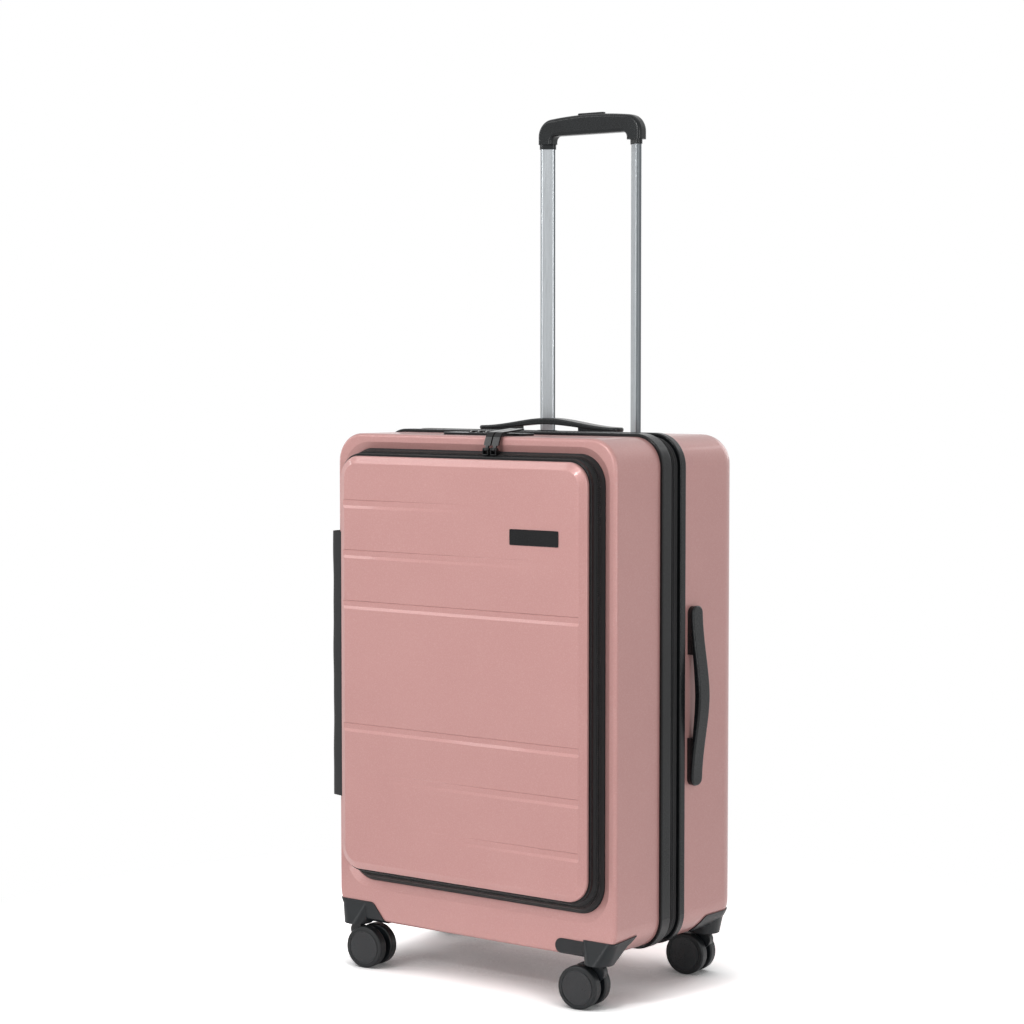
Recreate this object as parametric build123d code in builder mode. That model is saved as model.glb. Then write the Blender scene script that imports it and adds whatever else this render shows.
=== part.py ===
from build123d import *
import os
from math import cos, radians, sin

# A medium hard shell suitcase on four twin casters, with a front pocket door.
# Millimetres. +Z is up, -Y is the front, the floor is Z = 0 and X = 0 is the middle of the case.

# Case shells
shell_width = 430.0
shell_height = 611.0
shell_lift = 59.0
shell_wall = 2.0
shell_corner = 36.0
front_edge_radius = 4.5
back_edge_radius = 30.0
front_side_depth = 88.0
rear_side_depth = 121.0

# Edge rims and main zip
front_rim_width = 16.5
rear_rim_width = 9.5
rim_proud = 4.0
rim_web = 2.0
rim_lip = 3.0
rim_edge_radius = 1.6
zip_gap = 23.0
zip_tape = 1.2
zip_tape_sink = 1.0
zip_chain_width = 3.0
zip_chain_rise = 1.6
zip_part_gap = 0.6
case_hinge_height = 480.0

# Door opening and pocket zip
ridge_inset = 10.0
ridge_bottom = 41.0
ridge_radius = 41.0
ridge_edge_radius = 1.2
cove_depth = 3.5
seat_inset = 18.0
seat_bottom = 51.0
seat_radius = 36.0
seat_land = 3.0
pocket_depth = 42.0
pocket_panel_thickness = 2.5
panel_clearance = 0.4

# Front door
door_side = 25.0
door_top = 27.0
door_bottom = 69.0
door_radius = 28.0
door_proud = 17.0
door_edge = 6.5
door_bevel = 4.5
door_bevel_width = 9.5
door_wall = 2.4
door_edge_radius = 1.8
door_face_radius = 3.0
trim_width = 3.0
trim_front = 2.5
trim_back = 2.0
trim_radius = 1.0
groove_height = 11.0
groove_depth = 1.7
groove_top_slope = 0.8
groove_low_slope = 3.6
groove_end_slope = 3.0
groove_fade_depth = 0.02
groove_rises = (224.5, 162.5, 99.5, -53.5, -113.5, -176.5)
groove_left = -194.0
groove_right = 180.0
groove_fade_out = (44.0, 147.0)
groove_fade_in = (-146.0, -65.0)
badge_length = 72.0
badge_height = 19.0
badge_thickness = 1.6
badge_sink = 0.6
badge_x = 116.0
badge_rise = 188.5
badge_corner = 1.5

# Door hinge flap
flap_rise = 16.5
flap_height = 334.0
flap_thickness = 1.6
flap_clearance = 0.5
flap_out = 4.5
flap_wrap = 16.0
flap_seam = 9.0
door_axis_front = 3.0

# Carry handles
handle_length = 218.0
handle_width = 22.0
handle_rise = 19.0
handle_end_rise = 8.4
handle_under_rise = 11.0
handle_end_under = 4.0
handle_edge_radius = 2.2
handle_under_radius = 1.0
handle_end_corner = 9.0
handle_behind_rim = 20.0
foot_length = 58.0
foot_width = 21.0
foot_inset = 0.5
side_handle_drop = 7.5
screw_radius = 2.0
screw_clearance = 0.2
screw_head_radius = 4.0
screw_head = 2.0
screw_bite = 3.0
screw_inset = 14.0
screw_pitch = 30.0

# Trolley
tube_spacing = 139.0
tube_width = 19.0
tube_thickness = 8.0
tube_corner = 3.4
tube_wall = 1.2
tube_turn = 30.0
tube_from_back = 15.0
tube_hold = 64.0
tube_clearance = 0.4
trolley_travel = 400.0
guide_wall = 1.2
guide_lift = 91.0
guide_foot_height = 16.0
guide_foot_wall = 3.0
cup_depth = 46.0
cup_wall = 2.0
cup_floor = 4.0
cup_clearance = 1.5
plug_height = 15.0
plug_foot = 8.0
grip_stow_proud = 2.0
grip_bar_height = 25.0
grip_arch_rise = 6.0
grip_leg_drop = 10.0
grip_sleeve = 6.0
grip_depth = 17.0
grip_side = 11.0
grip_corner = 22.0
grip_inner_corner = 7.0
grip_edge_radius = 4.5
grip_leg_wall = 1.1
grip_cavity_depth = 9.0
grip_cover = 2.5
grip_roof = 13.6
button_length = 41.0
button_width = 8.0
button_proud = 2.0
button_travel = 4.0
button_clearance = 0.4
yoke_height = 4.0
yoke_width = 6.0
rod_radius = 1.5
rod_clearance = 0.5

# Combination lock on the top of the front shell
lock_length = 122.0
lock_width = 28.0
lock_x = -6.0
lock_behind_frame = 40.0
lock_plate = 3.0
lock_corner = 4.0
lock_box_inset = 4.0
lock_box_depth = 13.0
dial_radius = 6.0
dial_width = 5.0
dial_pitch = 12.0
dial_first_x = -31.0
dial_proud = 2.2
dial_clearance = 0.35
spindle_radius = 1.5
spindle_clearance = 0.05
lock_button_x = 10.0
lock_button_length = 10.0
lock_button_width = 6.0
lock_button_height = 4.0
lock_button_proud = 1.2
lock_button_travel = 4.0

# Pocket zip sliders and pull tongues
slider_xs = (30.0, 42.0)
slider_width = 9.0
slider_length = 12.0
slider_height = 3.6
slider_float = 0.5
ear_thickness = 1.3
pin_radius = 1.2
pin_height = 6.4
eye_radius = 2.6
eye_clearance = 0.3
pull_width = 10.0
pull_thickness = 2.2
pull_eye_width = 4.6
pull_gap = 3.4
pull_bend_radius = 3.0
pull_reach = 46.0

# Main zip sliders
main_slider_xs = (-12.0, 12.0)
main_slider_length = 11.0
main_slider_width = 9.0
main_slider_height = 2.4
main_slider_float = 0.5
main_pull_length = 28.0
main_pull_width = 6.0
main_pull_thickness = 1.4

# Casters
caster_side = 27.0
caster_front = 5.0
caster_back = 30.0
caster_turn = 7.0
caster_trail = 20.0
wheel_radius = 26.0
wheel_width = 13.0
wheel_gap = 10.8
wheel_edge_radius = 2.4
hub_radius = 20.0
hub_groove = 0.9
hub_groove_depth = 0.7
hub_face = 2.8
axle_radius = 3.0
axle_clearance = 0.05
fork_thickness = 9.0
fork_boss = 8.0
fork_shoulder = 9.0
crown_radius = 13.4
crown_height = 3.2
crown_lift = 0.8
crown_clearance = 0.6
stem_radius = 6.0
stem_length = 12.0
stem_clearance = 0.08
stem_wall = 3.4
neck_radius = 17.5
neck_lift = 0.4
neck_height = 27.0
neck_flush = 1.5
front_neck_width = 50.0
front_neck_depth = 45.0
front_neck_corner = 10.0
rear_neck_width = 46.0
rear_neck_corner = 22.0
boss_wall = 3.0
wing_proud = 1.5
wing_depth = 16.0
wing_rim_gap = 1.0
long_wing_reach = 87.0
long_wing_low = 1.0
long_wing_height = 19.0
long_wing_corner = 8.5
pointed_wing_height = 20.0
pointed_wing_reach = 44.0
pointed_wing_tip = 24.5
pointed_wing_back = 36.0
pointed_wing_step = 16.0
pointed_wing_root = 14.0
flared_wing_height = 23.5
flared_wing_corner = 9.0
flared_face_reach = 56.0
flared_side_reach = 67.0
flared_wing_spread = 25.0

# Places worked out from the sizes above
door_rise = door_edge + door_bevel
total_depth = (door_rise + door_proud + front_side_depth + front_rim_width
               + zip_gap + rear_rim_width + rear_side_depth)
y_face = -total_depth / 2
y_trim = y_face + door_rise
y_frame = y_trim + door_proud
y_seat = y_frame + cove_depth
y_front_rim = y_frame + front_side_depth
y_zip_front = y_front_rim + front_rim_width
y_zip_mid = y_zip_front + zip_gap / 2
y_zip_rear = y_zip_front + zip_gap
y_rear_rim = y_zip_rear + rear_rim_width
y_back = y_rear_rim + rear_side_depth
z_top = shell_lift + shell_height
z_mid = shell_lift + shell_height / 2
side_x = shell_width / 2
y_handle = y_rear_rim + handle_behind_rim
y_tube = y_back - tube_from_back
y_lock = y_frame + lock_behind_frame
groove_tops = [z_mid + rise for rise in groove_rises]
badge_z = z_mid + badge_rise
flap_low = z_mid + flap_rise - flap_height / 2
flap_high = flap_low + flap_height
side_handle_z = z_mid - side_handle_drop
grip_top = z_top + trolley_travel + grip_stow_proud
grip_shoulder = grip_top - grip_arch_rise
grip_under = grip_top - grip_bar_height
grip_leg = grip_under - grip_leg_drop
grip_bottom = grip_leg - grip_sleeve
cup_low = z_top - cup_depth
tube_bottom = cup_low - tube_hold
guide_bottom = shell_lift + guide_lift
past = 5.0

os.makedirs("parts", exist_ok=True)


def save(part, name):
    """Label a finished piece and write its file."""
    part.label = name
    export_step(part, f"parts/{name}.step")


def at_y(y):
    """Upright plane across the case at depth y, with X to the right and Z up."""
    return Plane.XZ.offset(-y)


def loop(y, side, top, bottom, radius):
    """Rounded outline at depth y, set in from the shell's sides, top and bottom."""
    with BuildSketch(at_y(y)) as outline:
        with Locations((0, z_mid + (bottom - top) / 2)):
            RectangleRounded(shell_width - 2 * side, shell_height - top - bottom, radius)
    return outline.sketch


def even_loop(y, inset):
    """Outline of the shell at depth y, set in by the same amount all round."""
    return loop(y, inset, inset, inset, shell_corner - inset)


def block(y_low, y_high, inset, front_radius=0.0, back_radius=0.0):
    """Solid case form between two depths, with its front or back edges rounded."""
    with BuildPart() as form:
        extrude(even_loop(y_low, inset), amount=y_low - y_high)
        if front_radius > 0:
            fillet(form.faces().sort_by(Axis.Y)[0].edges(), front_radius)
        if back_radius > 0:
            fillet(form.faces().sort_by(Axis.Y)[-1].edges(), back_radius)
    return form.part


def ring(y_low, y_high, outer_inset, inner_inset):
    """Band that follows the shell's outline between two depths."""
    with BuildPart() as band:
        extrude(even_loop(y_low, outer_inset), amount=y_low - y_high)
        extrude(even_loop(y_low, inner_inset), amount=y_low - y_high, mode=Mode.SUBTRACT)
    return band.part


def box_between(low, high):
    """Plain box between two corners."""
    size = [b - a for a, b in zip(low, high)]
    middle = [(a + b) / 2 for a, b in zip(low, high)]
    with BuildPart() as form:
        with Locations(tuple(middle)):
            Box(*size)
    return form.part


front_solid = block(y_frame, y_zip_front, 0, front_radius=front_edge_radius)
rear_solid = block(y_zip_rear, y_back, 0, back_radius=back_edge_radius)
case_hinge_low = z_mid - case_hinge_height / 2
case_hinge_high = z_mid + case_hinge_height / 2
swivel_xs = (-(side_x - caster_side), side_x - caster_side)
y_front_caster = y_frame + caster_front
y_rear_caster = y_back - caster_back
boss_radius = stem_radius + stem_wall
neck_bottom = 2 * wheel_radius + crown_lift + neck_lift
boss_top = neck_bottom + crown_height + stem_length + boss_wall

# Rear shell: a deep tray with the trolley slot in its top and a hole for each caster boss.
cup_half_length = tube_spacing / 2 + grip_side + cup_clearance + cup_wall
cup_half_width = tube_width / 2 * sin(radians(tube_turn)) + tube_thickness / 2 + cup_clearance + cup_wall
cup_box = box_between(
    (-cup_half_length, y_tube - cup_half_width, cup_low),
    (cup_half_length, y_tube + cup_half_width, z_top + past),
)
screw_spots = [
    along * (handle_length / 2 - foot_inset - screw_inset - step * screw_pitch)
    for along in (-1, 1) for step in (0, 1)
]

with BuildPart() as rear_shell:
    add(rear_solid)
    inner_back_radius = back_edge_radius - shell_wall
    add(block(y_zip_rear, y_back - shell_wall, shell_wall, back_radius=inner_back_radius), mode=Mode.SUBTRACT)
    add(cup_box, mode=Mode.SUBTRACT)
    for swivel_x in swivel_xs:
        with Locations((swivel_x, y_rear_caster, neck_bottom)):
            Cylinder(boss_radius, boss_top - neck_bottom,
                     align=(Align.CENTER, Align.CENTER, Align.MIN), mode=Mode.SUBTRACT)
    for spot in screw_spots:
        with Locations((spot, y_handle, z_top)):
            Cylinder(screw_radius + screw_clearance, 4 * shell_wall, mode=Mode.SUBTRACT)
        with Locations(Location((side_x, y_handle, side_handle_z + spot), (0, 90, 0))):
            Cylinder(screw_radius + screw_clearance, 4 * shell_wall, mode=Mode.SUBTRACT)
save(rear_shell.part, "rear_shell")

# Front shell: a tray whose front is open for the door, with a cove that leads in to the zip's seat.
with BuildPart() as front_shell:
    add(front_solid)
    inner_front_radius = front_edge_radius - shell_wall
    add(block(y_frame + shell_wall, y_zip_front, shell_wall, front_radius=inner_front_radius),
        mode=Mode.SUBTRACT)
    loft([
        loop(y_frame + shell_wall / 2, ridge_inset - shell_wall, ridge_inset - shell_wall,
             ridge_bottom - shell_wall, ridge_radius + shell_wall),
        loop(y_seat + seat_land, seat_inset - shell_wall, seat_inset - shell_wall,
             seat_bottom - shell_wall, seat_radius + shell_wall),
    ], ruled=True)
    loft([
        loop(y_frame, ridge_inset, ridge_inset, ridge_bottom, ridge_radius),
        loop(y_seat, seat_inset, seat_inset, seat_bottom, seat_radius),
    ], ruled=True, mode=Mode.SUBTRACT)
    extrude(loop(y_seat, seat_inset, seat_inset, seat_bottom, seat_radius),
            amount=-seat_land, mode=Mode.SUBTRACT)
    ridge_face = front_shell.faces().sort_by(Axis.Y)[0]
    fillet(ridge_face.inner_wires()[0].edges(), ridge_edge_radius)
    lock_low = z_top - lock_box_depth
    lock_half = (lock_length / 2 - lock_box_inset, lock_width / 2 - lock_box_inset)
    add(box_between((lock_x - lock_half[0], y_lock - lock_half[1], lock_low),
                    (lock_x + lock_half[0], y_lock + lock_half[1], z_top + past)), mode=Mode.SUBTRACT)
    for swivel_x in swivel_xs:
        with Locations((swivel_x, y_front_caster, neck_bottom)):
            Cylinder(boss_radius, boss_top - neck_bottom,
                     align=(Align.CENTER, Align.CENTER, Align.MIN), mode=Mode.SUBTRACT)
save(front_shell.part, "front_shell")


def edge_rim(y_web, y_end):
    """Edge profile: a proud band round the shell with a web over the shell's cut edge."""
    y_web_out = y_web - rim_web if y_end > y_web else y_web + rim_web
    low, high = sorted((y_web_out, y_end))
    web_low, web_high = sorted((y_web_out, y_web))
    with BuildPart() as rim:
        add(ring(low, high, -rim_proud, 0))
        outer_faces = rim.faces().filter_by(Axis.Y)
        fillet([e for f in outer_faces for e in f.outer_wire().edges()], rim_edge_radius)
        add(ring(web_low, web_high, -rim_edge_radius / 2, shell_wall + rim_lip))
    return rim.part


save(edge_rim(y_zip_front, y_front_rim), "front_rim")
save(edge_rim(y_zip_rear, y_rear_rim), "rear_rim")


def main_zip_half(y_edge, toward):
    """Half of the main zip: flat tape from the rim's web with its run of teeth along the middle."""
    y_web_face = y_edge + toward * rim_web
    y_teeth = y_zip_mid - toward * zip_part_gap / 2
    low, high = sorted((y_web_face, y_teeth))
    chain_low, chain_high = sorted((y_teeth, y_teeth - toward * zip_chain_width))
    with BuildPart() as half:
        add(ring(low, high, zip_tape_sink, zip_tape_sink + zip_tape))
        add(ring(chain_low, chain_high, zip_tape_sink - zip_chain_rise, zip_tape_sink))
        add(box_between((-side_x - past, low - past, case_hinge_low),
                        (-side_x / 2, high + past, case_hinge_high)), mode=Mode.SUBTRACT)
    return half.part


save(main_zip_half(y_zip_front, 1), "main_zip_front_half")
save(main_zip_half(y_zip_rear, -1), "main_zip_rear_half")

# Fabric strip that joins the two shells along the left side.
with BuildPart() as case_hinge_strip:
    add(box_between(
        (-side_x + zip_tape_sink, y_zip_front + rim_web + zip_part_gap, case_hinge_low + zip_part_gap),
        (-side_x + zip_tape_sink + zip_tape, y_zip_rear - rim_web, case_hinge_high - zip_part_gap)))
save(case_hinge_strip.part, "case_hinge_strip")

# Panel between the front pocket and the main compartment.
y_panel = y_frame + pocket_depth
with BuildPart() as pocket_panel:
    extrude(even_loop(y_panel, shell_wall + panel_clearance), amount=-pocket_panel_thickness)
    for swivel_x in swivel_xs:
        with Locations((swivel_x, y_front_caster, neck_bottom)):
            Cylinder(boss_radius + panel_clearance, boss_top - neck_bottom + panel_clearance,
                     align=(Align.CENTER, Align.CENTER, Align.MIN), mode=Mode.SUBTRACT)
    add(box_between((lock_x - lock_half[0] - panel_clearance, y_frame, lock_low - panel_clearance),
                    (lock_x + lock_half[0] + panel_clearance, y_zip_front, z_top)), mode=Mode.SUBTRACT)
save(pocket_panel.part, "pocket_panel")


def band_loop(share, inset):
    """Outline of the pocket zip band, from the seat at share 0 to the door's trim at share 1."""
    y = y_seat + share * (y_trim + trim_back - y_seat)
    side = seat_inset + share * (door_side - seat_inset) + inset
    top = seat_inset + share * (door_top - seat_inset) + inset
    bottom = seat_bottom + share * (door_bottom - seat_bottom) + inset
    return loop(y, side, top, bottom, seat_radius + share * (door_radius - seat_radius) - inset)


def pocket_zip_half(start, end):
    """Slanted half of the pocket zip's tape, left open where the hinge flap takes its place."""
    with BuildPart() as half:
        loft([band_loop(start, 0), band_loop(end, 0)], ruled=True)
        loft([band_loop(start, zip_tape), band_loop(end, zip_tape)], ruled=True, mode=Mode.SUBTRACT)
        add(box_between((-side_x, y_face, flap_low), (-side_x / 2, y_front_rim, flap_high)),
            mode=Mode.SUBTRACT)
    return half.part


band_depth = y_seat - y_trim - trim_back
band_gap_share = zip_part_gap / 2 / band_depth
save(pocket_zip_half(0.5 + band_gap_share, 1), "pocket_zip_door_half")
with BuildPart() as pocket_zip_frame_half:
    add(pocket_zip_half(0, 0.5 - band_gap_share))
    extrude(loop(y_seat, seat_inset, seat_inset, seat_bottom, seat_radius), amount=-seat_land)
    extrude(loop(y_seat, seat_inset + zip_tape, seat_inset + zip_tape, seat_bottom + zip_tape,
                 seat_radius - zip_tape), amount=-seat_land, mode=Mode.SUBTRACT)
save(pocket_zip_frame_half.part, "pocket_zip_frame_half")


def door_loop(y, inset):
    """Outline of the door at depth y, set in all round."""
    return loop(y, door_side + inset, door_top + inset, door_bottom + inset, door_radius - inset)


def door_form(inset):
    """Solid door form: a short upright edge and a bevel that leads up to the flat face."""
    with BuildPart() as form:
        extrude(door_loop(y_trim, inset), amount=door_edge - inset / 2)
        loft([door_loop(y_trim - door_edge + inset / 2, inset),
              door_loop(y_face + inset, door_bevel_width + inset / 2)], ruled=True)
    return form.part


def groove_section(x, top, depth, narrow):
    """Section of a groove at x: a steep upper wall, a flat floor and a long sloping lower wall."""
    high = top - narrow
    low = top - groove_height + narrow
    with BuildSketch(Plane.YZ.offset(x)) as section:
        Polygon((y_face - past, high), (y_face, high), (y_face + depth, high - groove_top_slope),
                (y_face + depth, low + groove_low_slope), (y_face, low), (y_face - past, low), align=None)
    return section.sketch


# Front door: a shallow pressed tray with six long grooves and a seat for the badge.
full_end = [(groove_right, groove_depth, 0), (groove_right + groove_end_slope, groove_fade_depth, 1)]
groove_runs = (
    [[(groove_left, groove_depth, 0), (end, groove_fade_depth, 0)] for end in groove_fade_out]
    + [[(groove_left, groove_depth, 0)] + full_end] * 2
    + [[(start, groove_fade_depth, 0)] + full_end for start in groove_fade_in]
)
with BuildPart() as front_door:
    add(door_form(0))
    face_edges = front_door.faces().sort_by(Axis.Y)[0].edges()
    fillet(face_edges, door_face_radius)
    y_bevel = y_trim - door_edge
    bevel_edges = front_door.edges().filter_by_position(Axis.Y, y_bevel - 0.01, y_bevel + 0.01)
    fillet(bevel_edges, door_edge_radius)
    add(door_form(door_wall), mode=Mode.SUBTRACT)
    for groove_top, run in zip(groove_tops, groove_runs):
        loft([groove_section(x, groove_top, depth, narrow) for x, depth, narrow in run],
             ruled=True, mode=Mode.SUBTRACT)
    with BuildSketch(at_y(y_face)):
        with Locations((badge_x, badge_z)):
            RectangleRounded(badge_length, badge_height, badge_corner)
    extrude(amount=-badge_sink, mode=Mode.SUBTRACT)
save(front_door.part, "front_door")

with BuildPart() as badge_plate:
    with BuildSketch(at_y(y_face + badge_sink)):
        with Locations((badge_x, badge_z)):
            RectangleRounded(badge_length, badge_height, badge_corner)
    extrude(amount=badge_thickness)
    chamfer(badge_plate.faces().sort_by(Axis.Y)[0].edges(), badge_thickness / 4)
save(badge_plate.part, "badge_plate")

# Trim moulding round the door's edge.
with BuildPart() as door_trim:
    extrude(door_loop(y_trim + trim_back, -trim_width), amount=trim_back + trim_front)
    fillet(door_trim.faces().sort_by(Axis.Y)[0].edges(), trim_radius)
    extrude(door_loop(y_trim + trim_back, 0), amount=trim_back + trim_front, mode=Mode.SUBTRACT)
save(door_trim.part, "door_trim")

# Fabric flap that hinges the door along its left edge.
flap_half = flap_thickness / 2
flap_seat_x = -side_x - flap_half
flap_points = [
    (-side_x + door_side - flap_clearance, y_trim + trim_back + flap_half + flap_clearance),
    (-side_x - flap_out / 3, y_frame - door_axis_front - 4),
    (-side_x - flap_out, y_frame + flap_wrap / 3),
    (flap_seat_x, y_frame + flap_wrap),
]
with BuildPart() as door_hinge_flap:
    with BuildSketch(Plane.XY.offset(flap_low + flap_clearance)):
        with BuildLine():
            bulge = Spline(*flap_points, tangents=[(-1, 0.2), (0, 1)])
            Line(bulge @ 1, (flap_seat_x, y_frame + flap_wrap + flap_seam))
        trace(line_width=flap_thickness)
    extrude(amount=flap_high - flap_low - 2 * flap_clearance)
save(door_hinge_flap.part, "door_hinge_flap")


def handle_plane(origin, along, out):
    """Plane whose x runs along a carry handle and whose y points away from the shell."""
    return Plane(origin=origin, x_dir=along, z_dir=Vector(*along).cross(Vector(*out)))


def bow(end_height, height):
    """Bowed line along a carry handle that lies level at both ends and in the middle."""
    half = handle_length / 2
    return Spline((-half, end_height), (0, height), (half, end_height), tangents=[(1, 0), (1, 0)])


def handle_plan(plane, length, width):
    """Outline of a carry handle on the shell, with rounded ends."""
    with BuildSketch(Plane(origin=plane.origin, x_dir=plane.x_dir, z_dir=plane.y_dir)) as plan:
        RectangleRounded(length, width, handle_end_corner)
    return plan.sketch


def carry_handle(plane):
    """Bowed bar of a carry handle."""
    with BuildPart() as bar:
        with BuildSketch(plane.offset(-handle_width / 2)):
            with BuildLine():
                under = bow(handle_end_under, handle_under_rise)
                upper = bow(handle_end_rise, handle_rise)
                Line(under @ 0, upper @ 0)
                Line(under @ 1, upper @ 1)
            make_face()
        extrude(amount=handle_width)
        extrude(handle_plan(plane, handle_length, handle_width), amount=handle_rise + past, mode=Mode.INTERSECT)
        across = bar.faces().sort_by(lambda face: plane.to_local_coords(face.center()).Y)
        fillet(across[-1].edges(), handle_edge_radius)
        across = bar.faces().sort_by(lambda face: plane.to_local_coords(face.center()).Y)
        fillet(across[0].edges(), handle_under_radius)
    return bar.part


def carry_feet(plane):
    """Two feet that stand on the shell and carry the ends of the bar."""
    half = handle_length / 2
    with BuildPart() as feet:
        with BuildSketch(plane.offset(-foot_width / 2)):
            with BuildLine():
                under = bow(handle_end_under, handle_under_rise)
                Line(under @ 0, (-half, 0))
                Line((-half, 0), (half, 0))
                Line((half, 0), under @ 1)
            make_face()
            Rectangle(2 * (half - foot_inset - foot_length), 2 * handle_rise, mode=Mode.SUBTRACT)
        extrude(amount=foot_width)
        extrude(handle_plan(plane, 2 * (half - foot_inset), foot_width), amount=handle_rise, mode=Mode.INTERSECT)
        for spot in screw_spots:
            hole_plane = Plane(origin=plane.from_local_coords((spot, 0, 0)), z_dir=plane.y_dir)
            with BuildSketch(hole_plane):
                Circle(screw_radius)
            extrude(amount=screw_bite, mode=Mode.SUBTRACT)
    return feet.part


top_plane = handle_plane((0, y_handle, z_top), (1, 0, 0), (0, 0, 1))
side_plane = handle_plane((side_x, y_handle, side_handle_z), (0, 0, 1), (1, 0, 0))
save(carry_handle(top_plane), "top_handle")
save(carry_feet(top_plane), "top_handle_feet")
save(carry_handle(side_plane), "side_handle")
save(carry_feet(side_plane), "side_handle_feet")

# Screws that hold the handle feet from inside the shell.
with BuildPart() as handle_screws:
    for plane in (top_plane, side_plane):
        for spot in screw_spots:
            inner = plane.from_local_coords((spot, -shell_wall, 0))
            with BuildSketch(Plane(origin=inner, z_dir=plane.y_dir)):
                Circle(screw_radius)
            extrude(amount=shell_wall + screw_bite)
            with BuildSketch(Plane(origin=inner, z_dir=plane.y_dir)):
                Circle(screw_head_radius)
            extrude(amount=-screw_head)
save(handle_screws.part, "handle_screws")


def tube_plane(side, z):
    """Level plane at a trolley tube, turned with the tube's section."""
    turn = -side * radians(tube_turn)
    return Plane(origin=(side * tube_spacing / 2, y_tube, z), x_dir=(cos(turn), sin(turn), 0), z_dir=(0, 0, 1))


def tube_section(side, z, grow):
    """Rounded section of a trolley tube, grown or shrunk all round."""
    with BuildSketch(tube_plane(side, z)) as section:
        RectangleRounded(tube_width + 2 * grow, tube_thickness + 2 * grow, tube_corner + grow)
    return section.sketch


sides = (-1, 1)
tube_top = grip_under - 2.0
with BuildPart() as trolley_tubes:
    for side in sides:
        extrude(tube_section(side, tube_bottom, 0), amount=tube_top - tube_bottom)
        extrude(tube_section(side, tube_bottom, -tube_wall), amount=tube_top - tube_bottom, mode=Mode.SUBTRACT)
save(trolley_tubes.part, "trolley_tubes")

with BuildPart() as tube_plugs:
    for side in sides:
        extrude(tube_section(side, tube_bottom, -tube_wall), amount=plug_height)
        extrude(tube_section(side, tube_bottom, 0), amount=-plug_foot)
save(tube_plugs.part, "tube_plugs")

with BuildPart() as guide_tubes:
    for side in sides:
        extrude(tube_section(side, guide_bottom, tube_clearance + guide_wall), amount=cup_low - guide_bottom)
        extrude(tube_section(side, guide_bottom, tube_clearance), amount=cup_low - guide_bottom, mode=Mode.SUBTRACT)
save(guide_tubes.part, "guide_tubes")

# Foot bracket that holds the guide tubes against the rear wall.
y_back_inside = y_back - shell_wall
foot_half = tube_spacing / 2 + tube_width / 2 + guide_wall + guide_foot_wall
with BuildPart() as guide_foot:
    add(box_between((-foot_half, y_tube - cup_half_width, guide_bottom - guide_foot_wall),
                    (foot_half, y_back_inside, guide_bottom + guide_foot_height)))
    for side in sides:
        extrude(tube_section(side, guide_bottom, tube_clearance + guide_wall), amount=guide_foot_height,
                mode=Mode.SUBTRACT)
    add(box_between((-foot_half + 2 * tube_width, y_tube - cup_half_width - past, guide_bottom),
                    (foot_half - 2 * tube_width, y_back_inside - guide_foot_wall, z_top)), mode=Mode.SUBTRACT)
save(guide_foot.part, "guide_foot")

# Trolley cup: the recess in the top rear edge that takes the grip when it is pushed down.
with BuildPart() as trolley_cup:
    add(cup_box)
    add(rear_solid, mode=Mode.INTERSECT)
    add(box_between(
        (-cup_half_length + cup_wall, y_tube - cup_half_width + cup_wall, cup_low + cup_floor),
        (cup_half_length - cup_wall, y_tube + cup_half_width - cup_wall, z_top + past)), mode=Mode.SUBTRACT)
    for side in sides:
        extrude(tube_section(side, cup_low, tube_clearance), amount=cup_floor, mode=Mode.SUBTRACT)
save(trolley_cup.part, "trolley_cup")

# Grip: an arched bar with two legs that take the tubes, hollow for the release yoke.
grip_half = tube_spacing / 2 + grip_side
cavity_half = tube_spacing / 2 + rod_radius + 2 * rod_clearance
leg_inner = tube_spacing / 2 - grip_side
cover_half = leg_inner - grip_inner_corner - 2.0
cavity_low = grip_under + grip_cover
cavity_high = grip_top - grip_roof
with BuildPart() as grip_body:
    with BuildSketch(at_y(y_tube + grip_depth / 2)):
        with BuildLine():
            arch = ThreePointArc((-grip_half, grip_shoulder), (0, grip_top), (grip_half, grip_shoulder))
            Polyline(arch @ 0, (-grip_half, grip_leg), (-leg_inner, grip_leg), (-leg_inner, grip_under),
                     (leg_inner, grip_under), (leg_inner, grip_leg), (grip_half, grip_leg), arch @ 1)
        make_face()
        fillet(vertices().group_by(Axis.Y)[-1], grip_corner)
        fillet(vertices().filter_by_position(Axis.Y, grip_under - 0.1, grip_under + 0.1), grip_inner_corner)
    extrude(amount=grip_depth)
    outer_faces = grip_body.faces().filter_by(Axis.Y)
    fillet([e for f in outer_faces for e in f.edges() if e.center().Z > grip_leg + 0.1], grip_edge_radius)
    for side in sides:
        extrude(tube_section(side, grip_bottom, grip_leg_wall), amount=grip_under - grip_bottom)
        extrude(tube_section(side, grip_bottom, 0), amount=tube_top - grip_bottom, mode=Mode.SUBTRACT)
        with Locations((side * tube_spacing / 2, y_tube, tube_top)):
            Cylinder(rod_radius + rod_clearance, 2 * (cavity_low - tube_top), mode=Mode.SUBTRACT)
    add(box_between((-cavity_half, y_tube - grip_cavity_depth / 2, cavity_low),
                    (cavity_half, y_tube + grip_cavity_depth / 2, cavity_high)), mode=Mode.SUBTRACT)
    add(box_between((-cover_half, y_tube - grip_cavity_depth / 2, grip_under - past),
                    (cover_half, y_tube + grip_cavity_depth / 2, cavity_low)), mode=Mode.SUBTRACT)
    with BuildSketch(Plane.XY.offset(cavity_high)):
        with Locations((0, y_tube)):
            RectangleRounded(button_length + 2 * button_clearance, button_width + 2 * button_clearance,
                             button_width / 2)
    extrude(amount=grip_roof + past, mode=Mode.SUBTRACT)
save(grip_body.part, "grip_body")

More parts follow.
